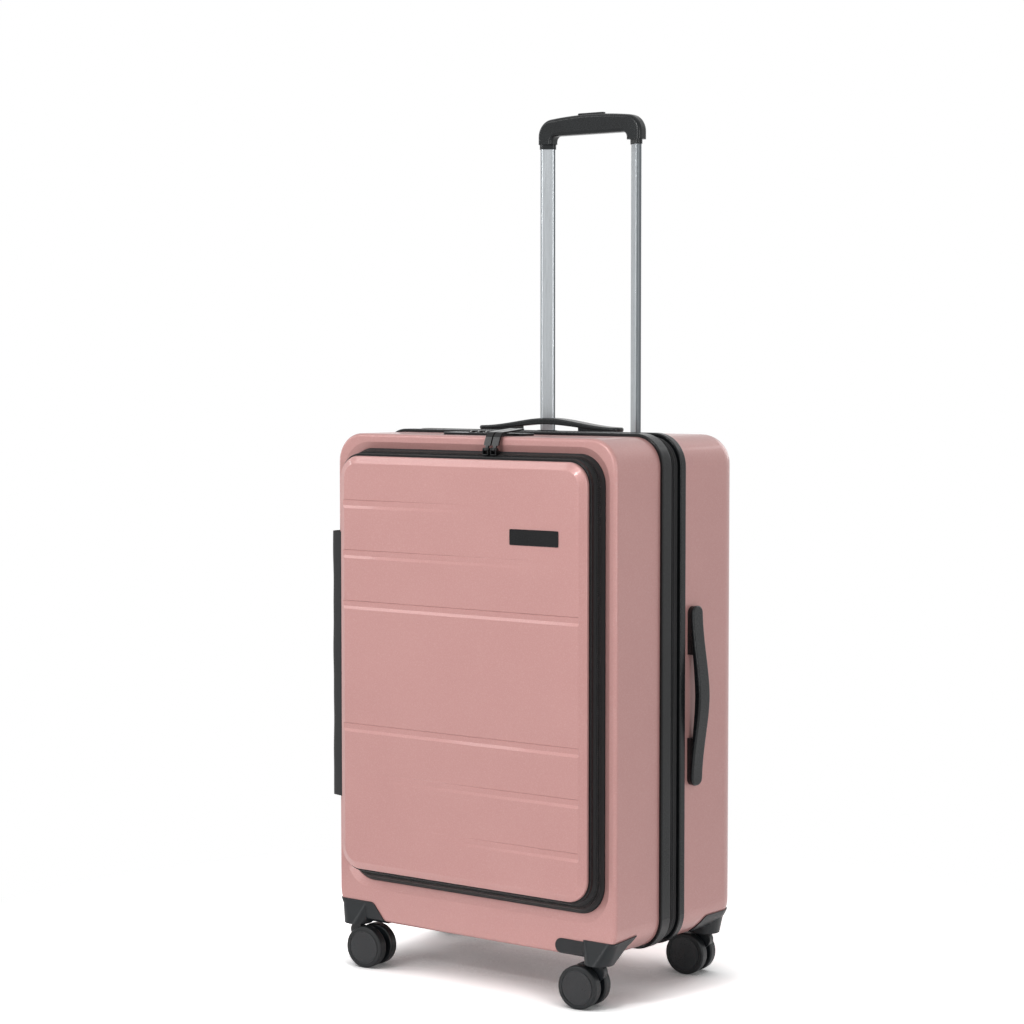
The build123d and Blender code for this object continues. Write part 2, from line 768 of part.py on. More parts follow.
with BuildPart() as grip_cover_plate:
    add(box_between((-cover_half, y_tube - grip_cavity_depth / 2, grip_under),
                    (cover_half, y_tube + grip_cavity_depth / 2, cavity_low)))
save(grip_cover_plate.part, "grip_cover_plate")

# Push button with the yoke that carries its stroke to the two release rods.
button_top = grip_top + button_proud
yoke_top = cavity_high - button_clearance
yoke_low = yoke_top - yoke_height
with BuildPart() as release_button:
    with BuildSketch(Plane.XY.offset(yoke_top)):
        with Locations((0, y_tube)):
            RectangleRounded(button_length, button_width, button_width / 2 - button_clearance)
    extrude(amount=button_top - yoke_top)
    fillet(release_button.faces().sort_by(Axis.Z)[-1].edges(), button_proud / 2)
    add(box_between((-tube_spacing / 2 - rod_radius, y_tube - yoke_width / 2, yoke_low),
                    (tube_spacing / 2 + rod_radius, y_tube + yoke_width / 2, yoke_top)))
save(release_button.part, "release_button")

rod_bottom = tube_bottom + plug_height + button_travel + rod_clearance
with BuildPart() as release_rods:
    for side in sides:
        with Locations((side * tube_spacing / 2, y_tube, rod_bottom)):
            Cylinder(rod_radius, yoke_low - rod_bottom, align=(Align.CENTER, Align.CENTER, Align.MIN))
save(release_rods.part, "release_rods")

# Lock: a body let into the front shell's top, with three number dials and a release button.
dial_z = z_top + lock_plate + dial_proud - dial_radius
dial_xs = [dial_first_x + step * dial_pitch for step in range(3)]
with BuildPart() as lock_body:
    with BuildSketch(Plane.XY.offset(z_top)):
        with Locations((lock_x, y_lock)):
            RectangleRounded(lock_length, lock_width, lock_corner)
    extrude(amount=lock_plate)
    fillet(lock_body.faces().sort_by(Axis.Z)[-1].edges(), lock_plate / 3)
    add(box_between((lock_x - lock_half[0], y_lock - lock_half[1], lock_low),
                    (lock_x + lock_half[0], y_lock + lock_half[1], z_top)))
    for dial_x in dial_xs:
        with Locations(Location((dial_x, y_lock, dial_z), (0, 90, 0))):
            Cylinder(dial_radius + dial_clearance, dial_width + 2 * dial_clearance, mode=Mode.SUBTRACT)
    with Locations(Location((dial_xs[1], y_lock, dial_z), (0, 90, 0))):
        Cylinder(spindle_radius, 3 * dial_pitch, mode=Mode.SUBTRACT)
    button_floor = z_top + lock_plate + lock_button_proud - lock_button_height - dial_clearance
    add(box_between(
        (lock_button_x - lock_button_length / 2 - dial_clearance,
         y_lock - lock_button_width / 2 - dial_clearance, button_floor),
        (lock_button_x + lock_button_length / 2 + lock_button_travel + dial_clearance,
         y_lock + lock_button_width / 2 + dial_clearance, z_top + past)), mode=Mode.SUBTRACT)
save(lock_body.part, "lock_body")

with BuildPart() as dial_spindle:
    with Locations(Location((dial_xs[1], y_lock, dial_z), (0, 90, 0))):
        Cylinder(spindle_radius, 3 * dial_pitch)
save(dial_spindle.part, "dial_spindle")

for number, dial_x in enumerate(dial_xs, start=1):
    with BuildPart() as dial:
        with Locations(Location((dial_x, y_lock, dial_z), (0, 90, 0))):
            Cylinder(dial_radius, dial_width)
            Cylinder(spindle_radius + spindle_clearance, dial_width, mode=Mode.SUBTRACT)
        chamfer(dial.edges().filter_by(GeomType.CIRCLE).group_by(SortBy.RADIUS)[-1], dial_clearance)
    save(dial.part, f"lock_dial_{number}")

with BuildPart() as lock_button:
    add(box_between(
        (lock_button_x - lock_button_length / 2, y_lock - lock_button_width / 2,
         button_floor + dial_clearance),
        (lock_button_x + lock_button_length / 2, y_lock + lock_button_width / 2,
         z_top + lock_plate + lock_button_proud)))
    fillet(lock_button.edges().filter_by(Axis.Z), lock_button_width / 4)
save(lock_button.part, "lock_button")

# Pocket zip sliders ride on the zip's band along the top of the door.
band_share = 0.5
y_band = y_seat + band_share * (y_trim + trim_back - y_seat)
z_band = z_top - (seat_inset + band_share * (door_top - seat_inset))
band_out = Vector(0, -(door_top - seat_inset), band_depth).normalized()


def slider_plane(x, height):
    """Plane on the zip band at x, at a height above the tape, with its normal off the tape."""
    return Plane(origin=Vector(x, y_band, z_band) + band_out * height, x_dir=(1, 0, 0), z_dir=band_out)


pin_at = Vector(0, y_band, z_band) + band_out * (slider_float + slider_height + pin_height / 2)
for hand, slider_x in zip(("left", "right"), slider_xs):
    with BuildPart() as slider:
        with BuildSketch(slider_plane(slider_x, slider_float)):
            RectangleRounded(slider_width, slider_length, slider_width / 4)
        extrude(amount=slider_height)
        fillet(slider.faces().sort_by(Axis.Z)[-1].edges(), slider_height / 4)
        add(box_between((slider_x - slider_width, y_face, z_band - slider_length),
                        (slider_x + slider_width, y_band, z_band + slider_float)), mode=Mode.SUBTRACT)
        for ear in sides:
            ear_x = slider_x + ear * (slider_width - ear_thickness) / 2
            with BuildSketch(Plane.YZ.offset(ear_x - ear_thickness / 2)):
                with Locations((pin_at.Y, pin_at.Z)):
                    Circle(eye_radius)
                with Locations((pin_at.Y, pin_at.Z - eye_radius)):
                    Rectangle(2 * eye_radius, 2 * eye_radius)
            extrude(amount=ear_thickness)
        with Locations(Location((slider_x, pin_at.Y, pin_at.Z), (0, 90, 0))):
            Cylinder(pin_radius, slider_width)
    save(slider.part, f"pocket_slider_{hand}")

# Pull tongues hang on the sliders' pins and lie back over the top edge onto the lock.
pull_y_front = y_frame - pull_gap
pull_points = [
    (pin_at.Y, pin_at.Z),
    (pull_y_front, z_top - 1.0),
    (pull_y_front + front_edge_radius, z_top + lock_plate + 1.2),
    (pull_y_front + pull_reach, z_top + lock_plate + dial_proud + 2.4),
]
for hand, slider_x in zip(("left", "right"), slider_xs):
    with BuildPart() as pull:
        with BuildSketch(Plane.YZ.offset(slider_x - pull_width / 2)):
            with BuildLine():
                FilletPolyline(*pull_points, radius=pull_bend_radius)
            trace(line_width=pull_thickness)
        extrude(amount=pull_width)
        add(box_between((slider_x - pull_width, y_face, z_band),
                        (slider_x - pull_eye_width / 2, pull_y_front + pull_thickness, pin_at.Z + 2 * eye_radius)),
            mode=Mode.SUBTRACT)
        add(box_between((slider_x + pull_eye_width / 2, y_face, z_band),
                        (slider_x + pull_width, pull_y_front + pull_thickness, pin_at.Z + 2 * eye_radius)),
            mode=Mode.SUBTRACT)
        with Locations(Location((slider_x, pin_at.Y, pin_at.Z), (0, 90, 0))):
            Cylinder(eye_radius, pull_eye_width)
            Cylinder(pin_radius + eye_clearance, pull_width, mode=Mode.SUBTRACT)
    save(pull.part, f"pocket_pull_{hand}")

# Main zip sliders sit in the channel between the rims, on the top of the case.
z_chain = z_top - zip_tape_sink + zip_chain_rise
for hand, toward, slider_x in zip(("left", "right"), sides, main_slider_xs):
    with BuildPart() as main_slider:
        with BuildSketch(Plane.XY.offset(z_chain + main_slider_float)):
            with Locations((slider_x, y_zip_mid)):
                RectangleRounded(main_slider_length, main_slider_width, main_slider_width / 4)
        extrude(amount=main_slider_height)
        with BuildSketch(Plane.XY.offset(z_chain + main_slider_float + main_slider_height)):
            with Locations((slider_x + toward * main_pull_length / 2, y_zip_mid)):
                RectangleRounded(main_pull_length, main_pull_width, main_pull_width / 3)
        extrude(amount=main_pull_thickness)
    save(main_slider.part, f"main_slider_{hand}")


def caster_housing(side, end):
    """Corner housing of a caster: two wings round the shell's corner and a neck over the wheels."""
    front = end < 0
    swivel_x = side * (side_x - caster_side)
    swivel_y = y_front_caster if front else y_rear_caster

    def x_in(u):
        return side * (side_x - u)

    def y_in(v):
        return y_frame + v if front else y_back - v

    side_limit = (front_side_depth if front else rear_side_depth) - wing_rim_gap
    if front:
        shell_form = front_solid
        wing_form = block(y_frame - wing_proud, y_zip_front, -wing_proud,
                          front_radius=front_edge_radius + wing_proud)
        neck_at = (x_in(front_neck_width / 2 + neck_flush), y_in(front_neck_depth / 2 - neck_flush))
        neck_size = (front_neck_width, front_neck_depth, front_neck_corner)
    else:
        shell_form = rear_solid
        wing_form = block(y_zip_rear, y_back + wing_proud, -wing_proud,
                          back_radius=back_edge_radius + wing_proud)
        neck_at = (swivel_x, swivel_y)
        neck_size = (rear_neck_width, rear_neck_width, rear_neck_corner)
    z_low = -past
    if side * end < 0:
        face_wing = [(-past, long_wing_low), (long_wing_reach, long_wing_low),
                     (long_wing_reach, long_wing_height), (-past, long_wing_height)]
        face_corner = long_wing_corner
        side_wing = [(-past, z_low), (pointed_wing_root, z_low), (pointed_wing_root, 0),
                     (pointed_wing_back, pointed_wing_step), (pointed_wing_reach, pointed_wing_tip),
                     (-past, pointed_wing_height)]
        side_corner = 0.0
    else:
        face_wing = [(-past, z_low), (flared_face_reach + flared_wing_spread, z_low),
                     (flared_face_reach, flared_wing_height), (-past, flared_wing_height)]
        face_corner = flared_wing_corner
        side_low = min(flared_side_reach + flared_wing_spread, side_limit)
        side_top = min(flared_side_reach, side_limit - flared_wing_corner)
        side_wing = [(-past, z_low), (side_low, z_low), (side_top, flared_wing_height),
                     (-past, flared_wing_height)]
        side_corner = flared_wing_corner
    with BuildPart() as housing:
        with BuildSketch(at_y(y_in(-past))):
            Polygon(*[(x_in(u), shell_lift + h) for u, h in face_wing], align=None)
            inner_ends = vertices().filter_by(lambda v: side * v.X < side_x - flared_face_reach + 0.1)
            fillet(inner_ends.filter_by(lambda v: v.Y > shell_lift), face_corner)
        extrude(amount=end * (wing_depth + past))
        with BuildSketch(Plane.YZ.offset(x_in(-past))):
            Polygon(*[(y_in(v), shell_lift + h) for v, h in side_wing], align=None)
            if side_corner > 0:
                inner_top = vertices().group_by(Axis.Y)[-1].sort_by(lambda v: end * v.X)[0]
                fillet(inner_top, side_corner)
        extrude(amount=-side * (wing_depth + past))
        add(wing_form, mode=Mode.INTERSECT)
        with BuildSketch(Plane.XY.offset(neck_bottom)) as neck_low:
            with Locations((swivel_x, swivel_y)):
                RectangleRounded(2 * neck_radius, 2 * neck_radius, 0.99 * neck_radius)
        with BuildSketch(Plane.XY.offset(neck_bottom + neck_height)) as neck_high:
            with Locations(neck_at):
                RectangleRounded(*neck_size)
        loft([neck_low.sketch, neck_high.sketch], ruled=True)
        add(shell_form, mode=Mode.SUBTRACT)
        with Locations((swivel_x, swivel_y, neck_bottom)):
            Cylinder(boss_radius, boss_top - neck_bottom, align=(Align.CENTER, Align.CENTER, Align.MIN))
            Cylinder(crown_radius + crown_clearance, crown_height + crown_clearance,
                     align=(Align.CENTER, Align.CENTER, Align.MIN), mode=Mode.SUBTRACT)
            Cylinder(stem_radius + stem_clearance, crown_height + stem_length + crown_clearance,
                     align=(Align.CENTER, Align.CENTER, Align.MIN), mode=Mode.SUBTRACT)
    return housing.part


def caster_axle_plane(x, y, trail, offset):
    """Upright plane through a caster's axle, its normal along the axle."""
    turn = radians(caster_turn)
    along = Vector(cos(turn), sin(turn), 0)
    axle_dir = Vector(sin(turn), -cos(turn), 0)
    origin = Vector(x, y, wheel_radius) - along * trail + axle_dir * offset
    return Plane(origin=origin, x_dir=along, z_dir=axle_dir)


def caster_fork(x, y, trail):
    """Fork: an arm between the wheels, a round crown under the housing and the swivel stem."""
    crown_low = 2 * wheel_radius + crown_lift
    with BuildPart() as fork:
        with BuildSketch(caster_axle_plane(x, y, trail, -fork_thickness / 2)):
            Circle(fork_boss)
            with Locations((trail, crown_low - wheel_radius - fork_shoulder)):
                Circle(fork_shoulder)
            make_hull()
            Circle(axle_radius, mode=Mode.SUBTRACT)
        extrude(amount=fork_thickness)
        with Locations((x, y, crown_low)):
            Cylinder(crown_radius, crown_height, align=(Align.CENTER, Align.CENTER, Align.MIN))
            Cylinder(fork_shoulder / 2, fork_shoulder, align=(Align.CENTER, Align.CENTER, Align.MAX))
            Cylinder(stem_radius, crown_height + stem_length, align=(Align.CENTER, Align.CENTER, Align.MIN))
    return fork.part


def caster_axle(x, y, trail):
    """Steel axle that carries the two wheels."""
    reach = wheel_gap / 2 + wheel_width - hub_face - axle_clearance
    with BuildPart() as axle:
        with BuildSketch(caster_axle_plane(x, y, trail, -reach)):
            Circle(axle_radius)
        extrude(amount=2 * reach)
    return axle.part


def caster_wheel(x, y, trail, facing):
    """Twin caster wheel with a rounded tread, a closed hub disc outside and a blind bore inside."""
    with BuildPart() as wheel:
        with BuildSketch(caster_axle_plane(x, y, trail, facing * wheel_gap / 2)):
            Circle(wheel_radius)
        extrude(amount=facing * wheel_width)
        fillet(wheel.edges().filter_by(GeomType.CIRCLE), wheel_edge_radius)
        with BuildSketch(caster_axle_plane(x, y, trail, facing * (wheel_gap / 2 + wheel_width))):
            Circle(hub_radius + hub_groove)
            Circle(hub_radius, mode=Mode.SUBTRACT)
        extrude(amount=-facing * hub_groove_depth, mode=Mode.SUBTRACT)
        with BuildSketch(caster_axle_plane(x, y, trail, facing * wheel_gap / 2)):
            Circle(axle_radius + axle_clearance)
        extrude(amount=facing * (wheel_width - hub_face), mode=Mode.SUBTRACT)
    return wheel.part


for end_name, end, swivel_y in (("front", -1, y_front_caster), ("rear", 1, y_rear_caster)):
    for hand, side in zip(("left", "right"), sides):
        swivel_x = side * (side_x - caster_side)
        corner = f"{end_name}_{hand}"
        trail = -caster_trail if corner == "front_left" else caster_trail
        save(caster_housing(side, end), f"caster_housing_{corner}")
        save(caster_fork(swivel_x, swivel_y, trail), f"caster_fork_{corner}")
        save(caster_axle(swivel_x, swivel_y, trail), f"caster_axle_{corner}")
        save(caster_wheel(swivel_x, swivel_y, trail, 1), f"wheel_{corner}_fore")
        save(caster_wheel(swivel_x, swivel_y, trail, -1), f"wheel_{corner}_aft")
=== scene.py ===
"""Looks of a hard shell suitcase with a front pocket door, zips and four twin casters."""
import logging
import math
from collections.abc import Callable, Sequence
from dataclasses import dataclass
from enum import Enum

import bpy
import numpy as np
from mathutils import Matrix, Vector


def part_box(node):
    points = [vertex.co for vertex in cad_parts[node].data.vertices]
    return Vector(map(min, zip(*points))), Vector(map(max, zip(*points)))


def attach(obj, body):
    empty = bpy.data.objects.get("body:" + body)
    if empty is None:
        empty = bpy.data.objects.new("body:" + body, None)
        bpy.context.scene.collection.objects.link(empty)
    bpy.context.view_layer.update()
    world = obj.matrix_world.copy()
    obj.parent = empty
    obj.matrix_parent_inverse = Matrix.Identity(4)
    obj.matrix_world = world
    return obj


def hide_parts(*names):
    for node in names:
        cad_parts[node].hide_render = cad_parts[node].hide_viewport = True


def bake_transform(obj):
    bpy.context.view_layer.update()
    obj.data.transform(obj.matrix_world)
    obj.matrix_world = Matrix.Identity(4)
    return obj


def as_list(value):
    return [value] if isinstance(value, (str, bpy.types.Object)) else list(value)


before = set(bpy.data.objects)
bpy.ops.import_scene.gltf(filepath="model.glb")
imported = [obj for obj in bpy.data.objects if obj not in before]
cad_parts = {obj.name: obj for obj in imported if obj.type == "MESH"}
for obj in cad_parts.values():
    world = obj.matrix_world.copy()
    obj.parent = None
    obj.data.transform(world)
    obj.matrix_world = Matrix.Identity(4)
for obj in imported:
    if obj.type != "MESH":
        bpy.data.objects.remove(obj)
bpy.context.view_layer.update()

NODES: dict[str, bpy.types.Object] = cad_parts
MM = 0.001
LOG = logging.getLogger("suitcase")
Colour = tuple[float, float, float, float]
Point = tuple[float, float]
Place = tuple[float, float, float]
# Length of one band of Blender's wave texture at a scale of 1.
WAVE_BAND = 0.314
# Sides of the small round sections: coil turns and stitches.
ROUND_SIDES = 6


@dataclass(frozen=True)
class CaseSizes:
    """Places that several sub-assemblies share. Millimetres."""

    half_width: float = 215.0
    low: float = 59.0
    high: float = 670.0
    y_seat: float = -111.5
    y_trim: float = -130.0
    y_mid: float = 1.0
    y_web_front: float = -8.5
    y_web_rear: float = 10.5


SIZES = CaseSizes()


class End(Enum):
    """Front or rear of the case."""

    FRONT = "front"
    REAR = "rear"


class Hand(Enum):
    """Left or right of the case, seen from the front."""

    LEFT = "left"
    RIGHT = "right"


class Twin(Enum):
    """The two wheels of a caster."""

    FORE = "fore"
    AFT = "aft"


def linear(hex_colour: str) -> Colour:
    """Turn an sRGB hex value into a linear colour.

    Args:
        hex_colour: Six hex digits with a leading hash.

    Returns:
        Red, green, blue and alpha, linear.
    """
    parts = [int(hex_colour[i:i + 2], 16) / 255 for i in (1, 3, 5)]
    flat = [p / 12.92 if p <= 0.04045 else ((p + 0.055) / 1.055) ** 2.4 for p in parts]
    return (flat[0], flat[1], flat[2], 1.0)


def add_node(tree: bpy.types.NodeTree, kind: str, links: dict | None = None,
             **settings: object) -> bpy.types.Node:
    """Add one node with its settings, and set or link its inputs.

    Args:
        tree: Node tree that takes the node.
        kind: Blender's name of the node type.
        links: Input name or number, to the socket or value it takes.
        settings: Attributes of the node itself.

    Returns:
        The new node.
    """
    node = tree.nodes.new(kind)
    for key, value in settings.items():
        setattr(node, key, value)
    for key, value in (links or {}).items():
        if isinstance(value, bpy.types.NodeSocket):
            tree.links.new(value, node.inputs[key])
        else:
            node.inputs[key].default_value = value
    return node


def blank_material(name: str) -> tuple[bpy.types.Material, bpy.types.NodeTree]:
    """Make a material with an empty node tree.

    Args:
        name: Name of the real material and process.

    Returns:
        The material and its tree.
    """
    material = bpy.data.materials.new(name)
    material.use_nodes = True
    material.node_tree.nodes.clear()
    return material, material.node_tree


@dataclass(frozen=True)
class PearlShell:
    """Thermoformed polycarbonate with mica flake: a satin skin with a soft sparkle under a clear layer."""

    name: str = "polycarbonate_thermoformed_rose_pearl"
    base: str = "#C6938F"
    flake: str = "#D8B1AC"
    deep: str = "#C08C88"
    roughness: float = 0.38
    metallic: float = 0.16
    flake_mm: float = 0.9
    peel_mm: float = 2.2
    peel_height_mm: float = 0.012
    cloud_mm: float = 90.0
    flake_share: float = 0.30
    cloud_share: float = 0.35
    ior: float = 1.58
    specular: float = 0.25
    coat: float = 0.35
    coat_roughness: float = 0.05

    def build(self) -> bpy.types.Material:
        """Build the node tree.

        Returns:
            The finished material.
        """
        material, tree = blank_material(self.name)
        place = add_node(tree, "ShaderNodeTexCoord").outputs["Object"]
        # Mica is finer than a pixel; the cells are drawn coarse enough to show as a faint sparkle.
        cells = add_node(tree, "ShaderNodeTexVoronoi", {"Vector": place, "Scale": 1 / (self.flake_mm * MM)})
        pick = add_node(tree, "ShaderNodeMapRange",
                        {"Value": cells.outputs["Color"], "From Min": 0.45, "From Max": 1.0,
                         "To Max": self.flake_share})
        cloud = add_node(tree, "ShaderNodeTexNoise", {"Vector": place, "Scale": 1 / (self.cloud_mm * MM),
                                                      "Detail": 3.0})
        shade = add_node(tree, "ShaderNodeMapRange", {"Value": cloud.outputs["Fac"], "From Min": 0.35,
                                                      "From Max": 0.65, "To Max": self.cloud_share})
        body = add_node(tree, "ShaderNodeMix", {"Factor": shade.outputs["Result"], 6: linear(self.base),
                                                7: linear(self.deep)}, data_type="RGBA")
        colour = add_node(tree, "ShaderNodeMix", {"Factor": pick.outputs["Result"], 6: body.outputs[2],
                                                  7: linear(self.flake)}, data_type="RGBA")
        peel = add_node(tree, "ShaderNodeTexNoise", {"Vector": place, "Scale": 1 / (self.peel_mm * MM),
                                                     "Detail": 2.0})
        gloss = add_node(tree, "ShaderNodeMapRange", {"Value": peel.outputs["Fac"], "From Min": 0.3,
                                                      "From Max": 0.7, "To Min": self.roughness - 0.03,
                                                      "To Max": self.roughness + 0.04})
        bump = add_node(tree, "ShaderNodeBump", {"Height": peel.outputs["Fac"], "Strength": 0.5,
                                                 "Distance": self.peel_height_mm * MM})
        shader = add_node(tree, "ShaderNodeBsdfPrincipled", {
            "Base Color": colour.outputs[2], "Roughness": gloss.outputs["Result"], "Metallic": self.metallic,
            "IOR": self.ior, "Specular IOR Level": self.specular,
            "Coat Weight": self.coat, "Coat Roughness": self.coat_roughness,
            "Normal": bump.outputs["Normal"]})
        add_node(tree, "ShaderNodeOutputMaterial", {"Surface": shader.outputs["BSDF"]})
        return material


@dataclass(frozen=True)
class MouldedPlastic:
    """Injection moulded plastic with a spark-eroded grain that breaks up the highlights."""

    name: str
    base: str
    light: str
    roughness: float
    grain_mm: float = 0.9
    grain_height_mm: float = 0.03
    ior: float = 1.49
    specular: float = 0.5
    dust_mm: float = 30.0

    def build(self) -> bpy.types.Material:
        """Build the node tree.

        Returns:
            The finished material.
        """
        material, tree = blank_material(self.name)
        place = add_node(tree, "ShaderNodeTexCoord").outputs["Object"]
        grain = add_node(tree, "ShaderNodeTexNoise", {"Vector": place, "Scale": 1 / (self.grain_mm * MM),
                                                      "Detail": 3.0, "Roughness": 0.6})
        dust = add_node(tree, "ShaderNodeTexNoise", {"Vector": place, "Scale": 1 / (self.dust_mm * MM),
                                                     "Detail": 4.0})
        share = add_node(tree, "ShaderNodeMapRange", {"Value": dust.outputs["Fac"], "From Min": 0.35,
                                                      "From Max": 0.7})
        colour = add_node(tree, "ShaderNodeMix", {"Factor": share.outputs["Result"], 6: linear(self.base),
                                                  7: linear(self.light)}, data_type="RGBA")
        gloss = add_node(tree, "ShaderNodeMapRange", {"Value": grain.outputs["Fac"], "From Min": 0.3,
                                                      "From Max": 0.7, "To Min": self.roughness - 0.05,
                                                      "To Max": self.roughness + 0.06})
        bump = add_node(tree, "ShaderNodeBump", {"Height": grain.outputs["Fac"], "Strength": 0.6,
                                                 "Distance": self.grain_height_mm * MM})
        shader = add_node(tree, "ShaderNodeBsdfPrincipled", {
            "Base Color": colour.outputs[2], "Roughness": gloss.outputs["Result"], "IOR": self.ior,
            "Specular IOR Level": self.specular, "Normal": bump.outputs["Normal"]})
        add_node(tree, "ShaderNodeOutputMaterial", {"Surface": shader.outputs["BSDF"]})
        return material


@dataclass(frozen=True)
class WovenTape:
    """Woven polyester: fine over-and-under threads with a soft sheen and no sharp highlight."""

    name: str
    base: str
    thread: str
    pitch_mm: float = 0.9
    depth_mm: float = 0.10
    roughness: float = 0.8
    sheen: float = 0.15
    sheen_roughness: float = 0.4
    fuzz_mm: float = 6.0
    ior: float = 1.5

    def build(self) -> bpy.types.Material:
        """Build the node tree.

        Returns:
            The finished material.
        """
        material, tree = blank_material(self.name)
        # Sewing tape has threads near 0.3 mm; they are drawn coarser here so that the weave shows.
        place = add_node(tree, "ShaderNodeTexCoord").outputs["Object"]
        bands = WAVE_BAND / (self.pitch_mm * MM)
        across = add_node(tree, "ShaderNodeTexWave", {"Vector": place, "Scale": bands},
                          bands_direction="DIAGONAL")
        along = add_node(tree, "ShaderNodeTexWave", {"Vector": place, "Scale": bands},
                         bands_direction="Z")
        weave = add_node(tree, "ShaderNodeMath", {0: across.outputs["Fac"], 1: along.outputs["Fac"]},
                         operation="MULTIPLY")
        fuzz = add_node(tree, "ShaderNodeTexNoise", {"Vector": place, "Scale": 1 / (self.fuzz_mm * MM),
                                                     "Detail": 4.0})
        share = add_node(tree, "ShaderNodeMath", {0: weave.outputs[0], 1: fuzz.outputs["Fac"]},
                         operation="MULTIPLY")
        colour = add_node(tree, "ShaderNodeMix", {"Factor": share.outputs[0], 6: linear(self.base),
                                                  7: linear(self.thread)}, data_type="RGBA")
        bump = add_node(tree, "ShaderNodeBump", {"Height": weave.outputs[0], "Strength": 0.7,
                                                 "Distance": self.depth_mm * MM})
        shader = add_node(tree, "ShaderNodeBsdfPrincipled", {
            "Base Color": colour.outputs[2], "Roughness": self.roughness, "IOR": self.ior,
            "Sheen Weight": self.sheen, "Sheen Roughness": self.sheen_roughness,
            "Normal": bump.outputs["Normal"]})
        add_node(tree, "ShaderNodeOutputMaterial", {"Surface": shader.outputs["BSDF"]})
        return material


@dataclass(frozen=True)
class DrawnMetal:
    """Metal with fine lines along its length, from drawing and brushing."""

    name: str
    base: str
    line: str
    roughness: float
    line_mm: float = 0.5
    stretch: float = 60.0
    anisotropy: float = 0.4
    line_depth_mm: float = 0.01

    def build(self) -> bpy.types.Material:
        """Build the node tree.

        Returns:
            The finished material.
        """
        material, tree = blank_material(self.name)
        place = add_node(tree, "ShaderNodeTexCoord").outputs["Object"]
        lines = add_node(tree, "ShaderNodeMapping", {"Vector": place, "Scale": (1.0, 1.0, 1 / self.stretch)})
        streak = add_node(tree, "ShaderNodeTexNoise", {"Vector": lines.outputs["Vector"],
                                                       "Scale": 1 / (self.line_mm * MM), "Detail": 3.0})
        colour = add_node(tree, "ShaderNodeMix", {"Factor": streak.outputs["Fac"], 6: linear(self.base),
                                                  7: linear(self.line)}, data_type="RGBA")
        gloss = add_node(tree, "ShaderNodeMapRange", {"Value": streak.outputs["Fac"], "From Min": 0.3,
                                                      "From Max": 0.7, "To Min": self.roughness - 0.06,
                                                      "To Max": self.roughness + 0.06})
        bump = add_node(tree, "ShaderNodeBump", {"Height": streak.outputs["Fac"], "Strength": 0.25,
                                                 "Distance": self.line_depth_mm * MM})
        shader = add_node(tree, "ShaderNodeBsdfPrincipled", {
            "Base Color": colour.outputs[2], "Metallic": 1.0, "Roughness": gloss.outputs["Result"],
            "Anisotropic": self.anisotropy, "Normal": bump.outputs["Normal"]})
        add_node(tree, "ShaderNodeOutputMaterial", {"Surface": shader.outputs["BSDF"]})
        return material


